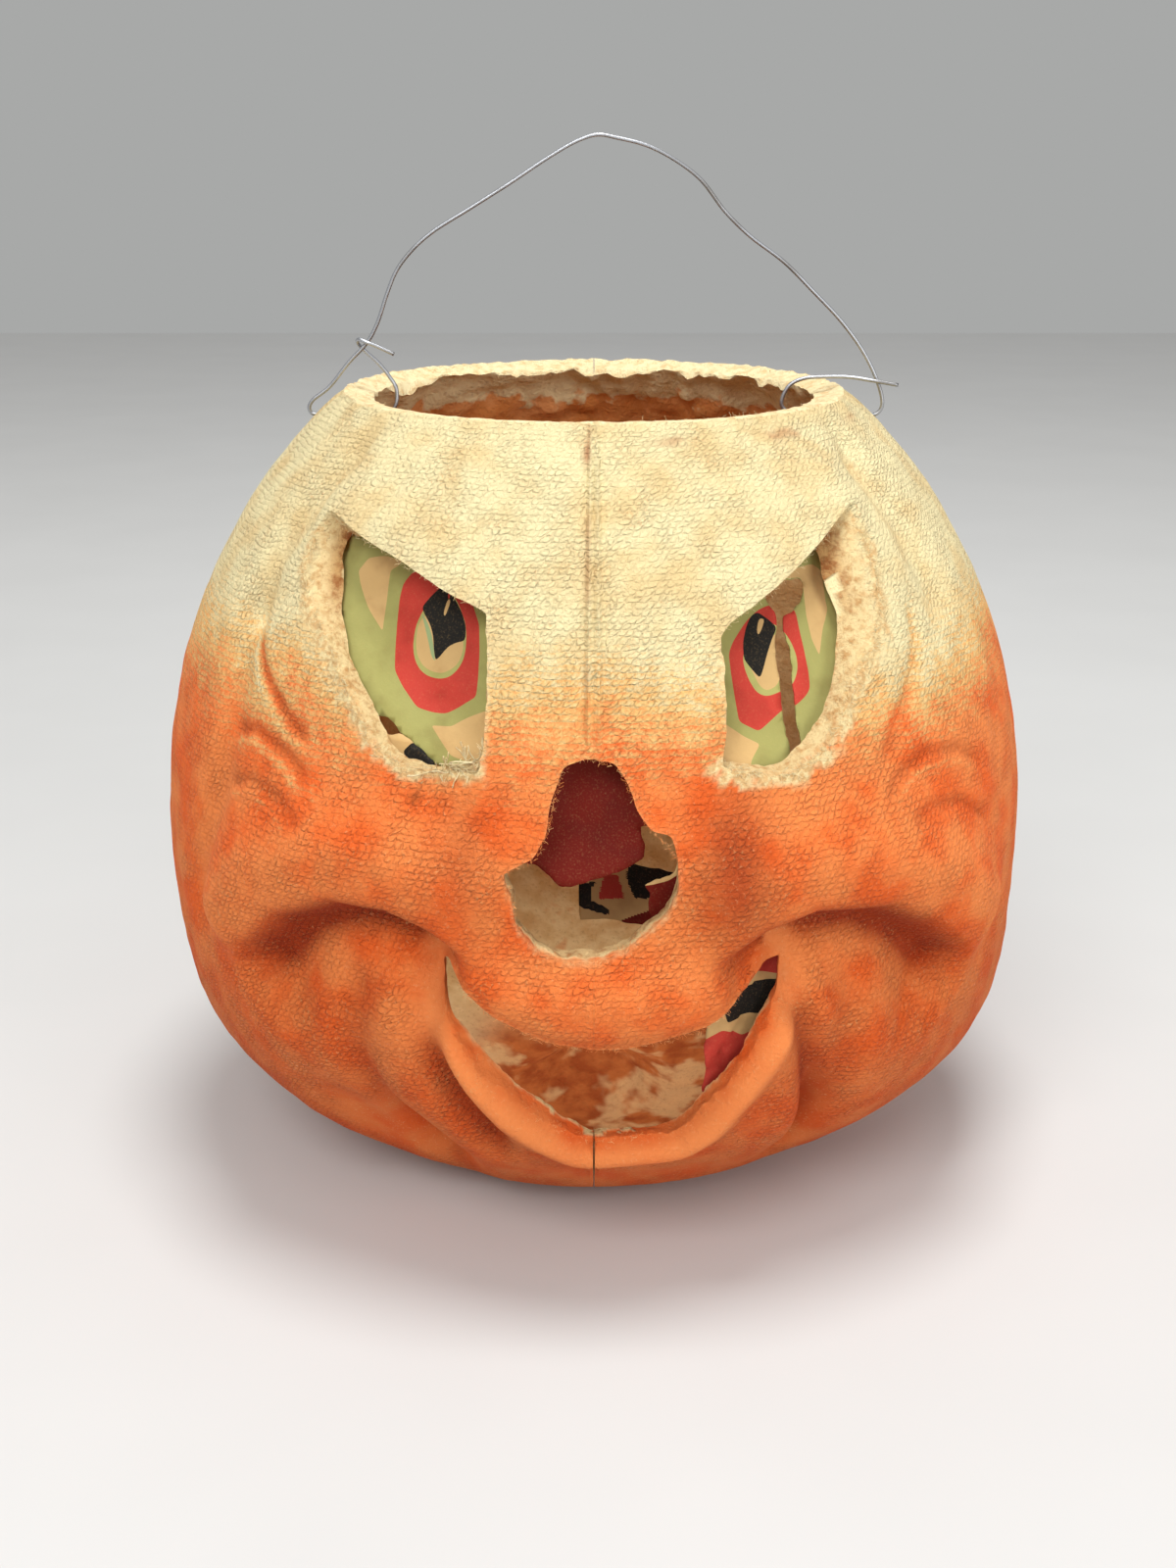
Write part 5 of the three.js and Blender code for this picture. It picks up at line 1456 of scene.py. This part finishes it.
fringes = [
    loose_fibres("eye_fibres", torn_edge_lines(EYE_EDGES), 1.5, 0.2, TORN),
    loose_fibres("lower_fibres", torn_edge_lines(LOWER_EDGES), 0.9, 0.3, LINT),
    loose_fibres("brow_fibres", torn_edge_lines(BROW_EDGES), 0.9, 0.35, TORN),
    loose_fibres("tuft", torn_edge_lines(TUFT_EDGES), 4.2, 0.4, TORN),
    loose_fibres("rim_fibres", rim_lines(), 1.0, 0.35, TORN),
]
for fringe in fringes:
    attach(fringe, "shell")
    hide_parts("shell_left_half", "shell_right_half")

bail = new_object("bail", wire_mesh("bail", through_points(bail_route(), 8), WIRE_DIAMETER, 14))
bail.data.materials.append(STEEL)
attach(bail, "bail")
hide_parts("bail_wire")

# Floor, light and camera, in metres

FLOOR_REACH = 1.5
EYE_PLACE = (0, -0.322, 0.175)
LOOKS_DOWN = 19.1


def floor():
    mesh = bpy.data.meshes.new("floor")
    reach = FLOOR_REACH
    corners = [(-reach, -reach, 0), (reach, -reach, 0), (reach, reach, 0), (-reach, reach, 0)]
    mesh.from_pydata(corners, [], [(0, 1, 2, 3)])
    ground = new_object("floor", mesh)
    material, tree, shader, where = new_finish("floor", 0.8, Specular_IOR_Level=0.2)
    base = blended(tree, grain(tree, where, 60.0, 2.0), colour(206, 206, 204), colour(212, 212, 210))
    tree.links.new(base, shader.inputs["Base Color"])
    mesh.materials.append(material)


def lamp(name, place, aim, size, power):
    light = bpy.data.lights.new(name, "AREA")
    light.shape = "DISK"
    light.size = size
    light.energy = power
    holder = bpy.data.objects.new(name, light)
    bpy.context.scene.collection.objects.link(holder)
    holder.location = place
    holder.rotation_euler = (Vector(aim) - Vector(place)).to_track_quat("-Z", "Y").to_euler()


floor()
lamp("key", (-0.3, -0.9, 0.85), (0, 0, 0.08), 0.6, 6.7)
lamp("fill", (0.75, -0.85, 0.35), (0, 0, 0.07), 0.7, 4.5)
lamp("top", (0.05, -0.1, 1.15), (0, 0, 0.07), 0.4, 8.0)
world = bpy.data.worlds.new("studio")
bpy.context.scene.world = world
world.use_nodes = True
sky = world.node_tree
around = sky.nodes["Background"]
around.inputs[0].default_value = colour(208, 208, 208)
around.inputs[1].default_value = 0.72
backdrop = add(sky, "ShaderNodeBackground", {0: colour(168, 169, 168), 1: 1.0}).outputs[0]
seen = add(sky, "ShaderNodeLightPath").outputs["Is Camera Ray"]
both = add(sky, "ShaderNodeMixShader", {0: seen, 1: around.outputs[0], 2: backdrop}).outputs[0]
sky.links.new(both, sky.nodes["World Output"].inputs[0])

view = bpy.data.cameras.new("view")
view.lens = 42.75
view.sensor_width = 36
view.shift_x = -0.00375
view.clip_start = 0.01
eye = bpy.data.objects.new("view", view)
bpy.context.scene.collection.objects.link(eye)
eye.location = EYE_PLACE
eye.rotation_euler = (math.radians(90 - LOOKS_DOWN), 0, 0)
bpy.context.scene.camera = eye
bpy.context.scene.view_settings.view_transform = "Standard"
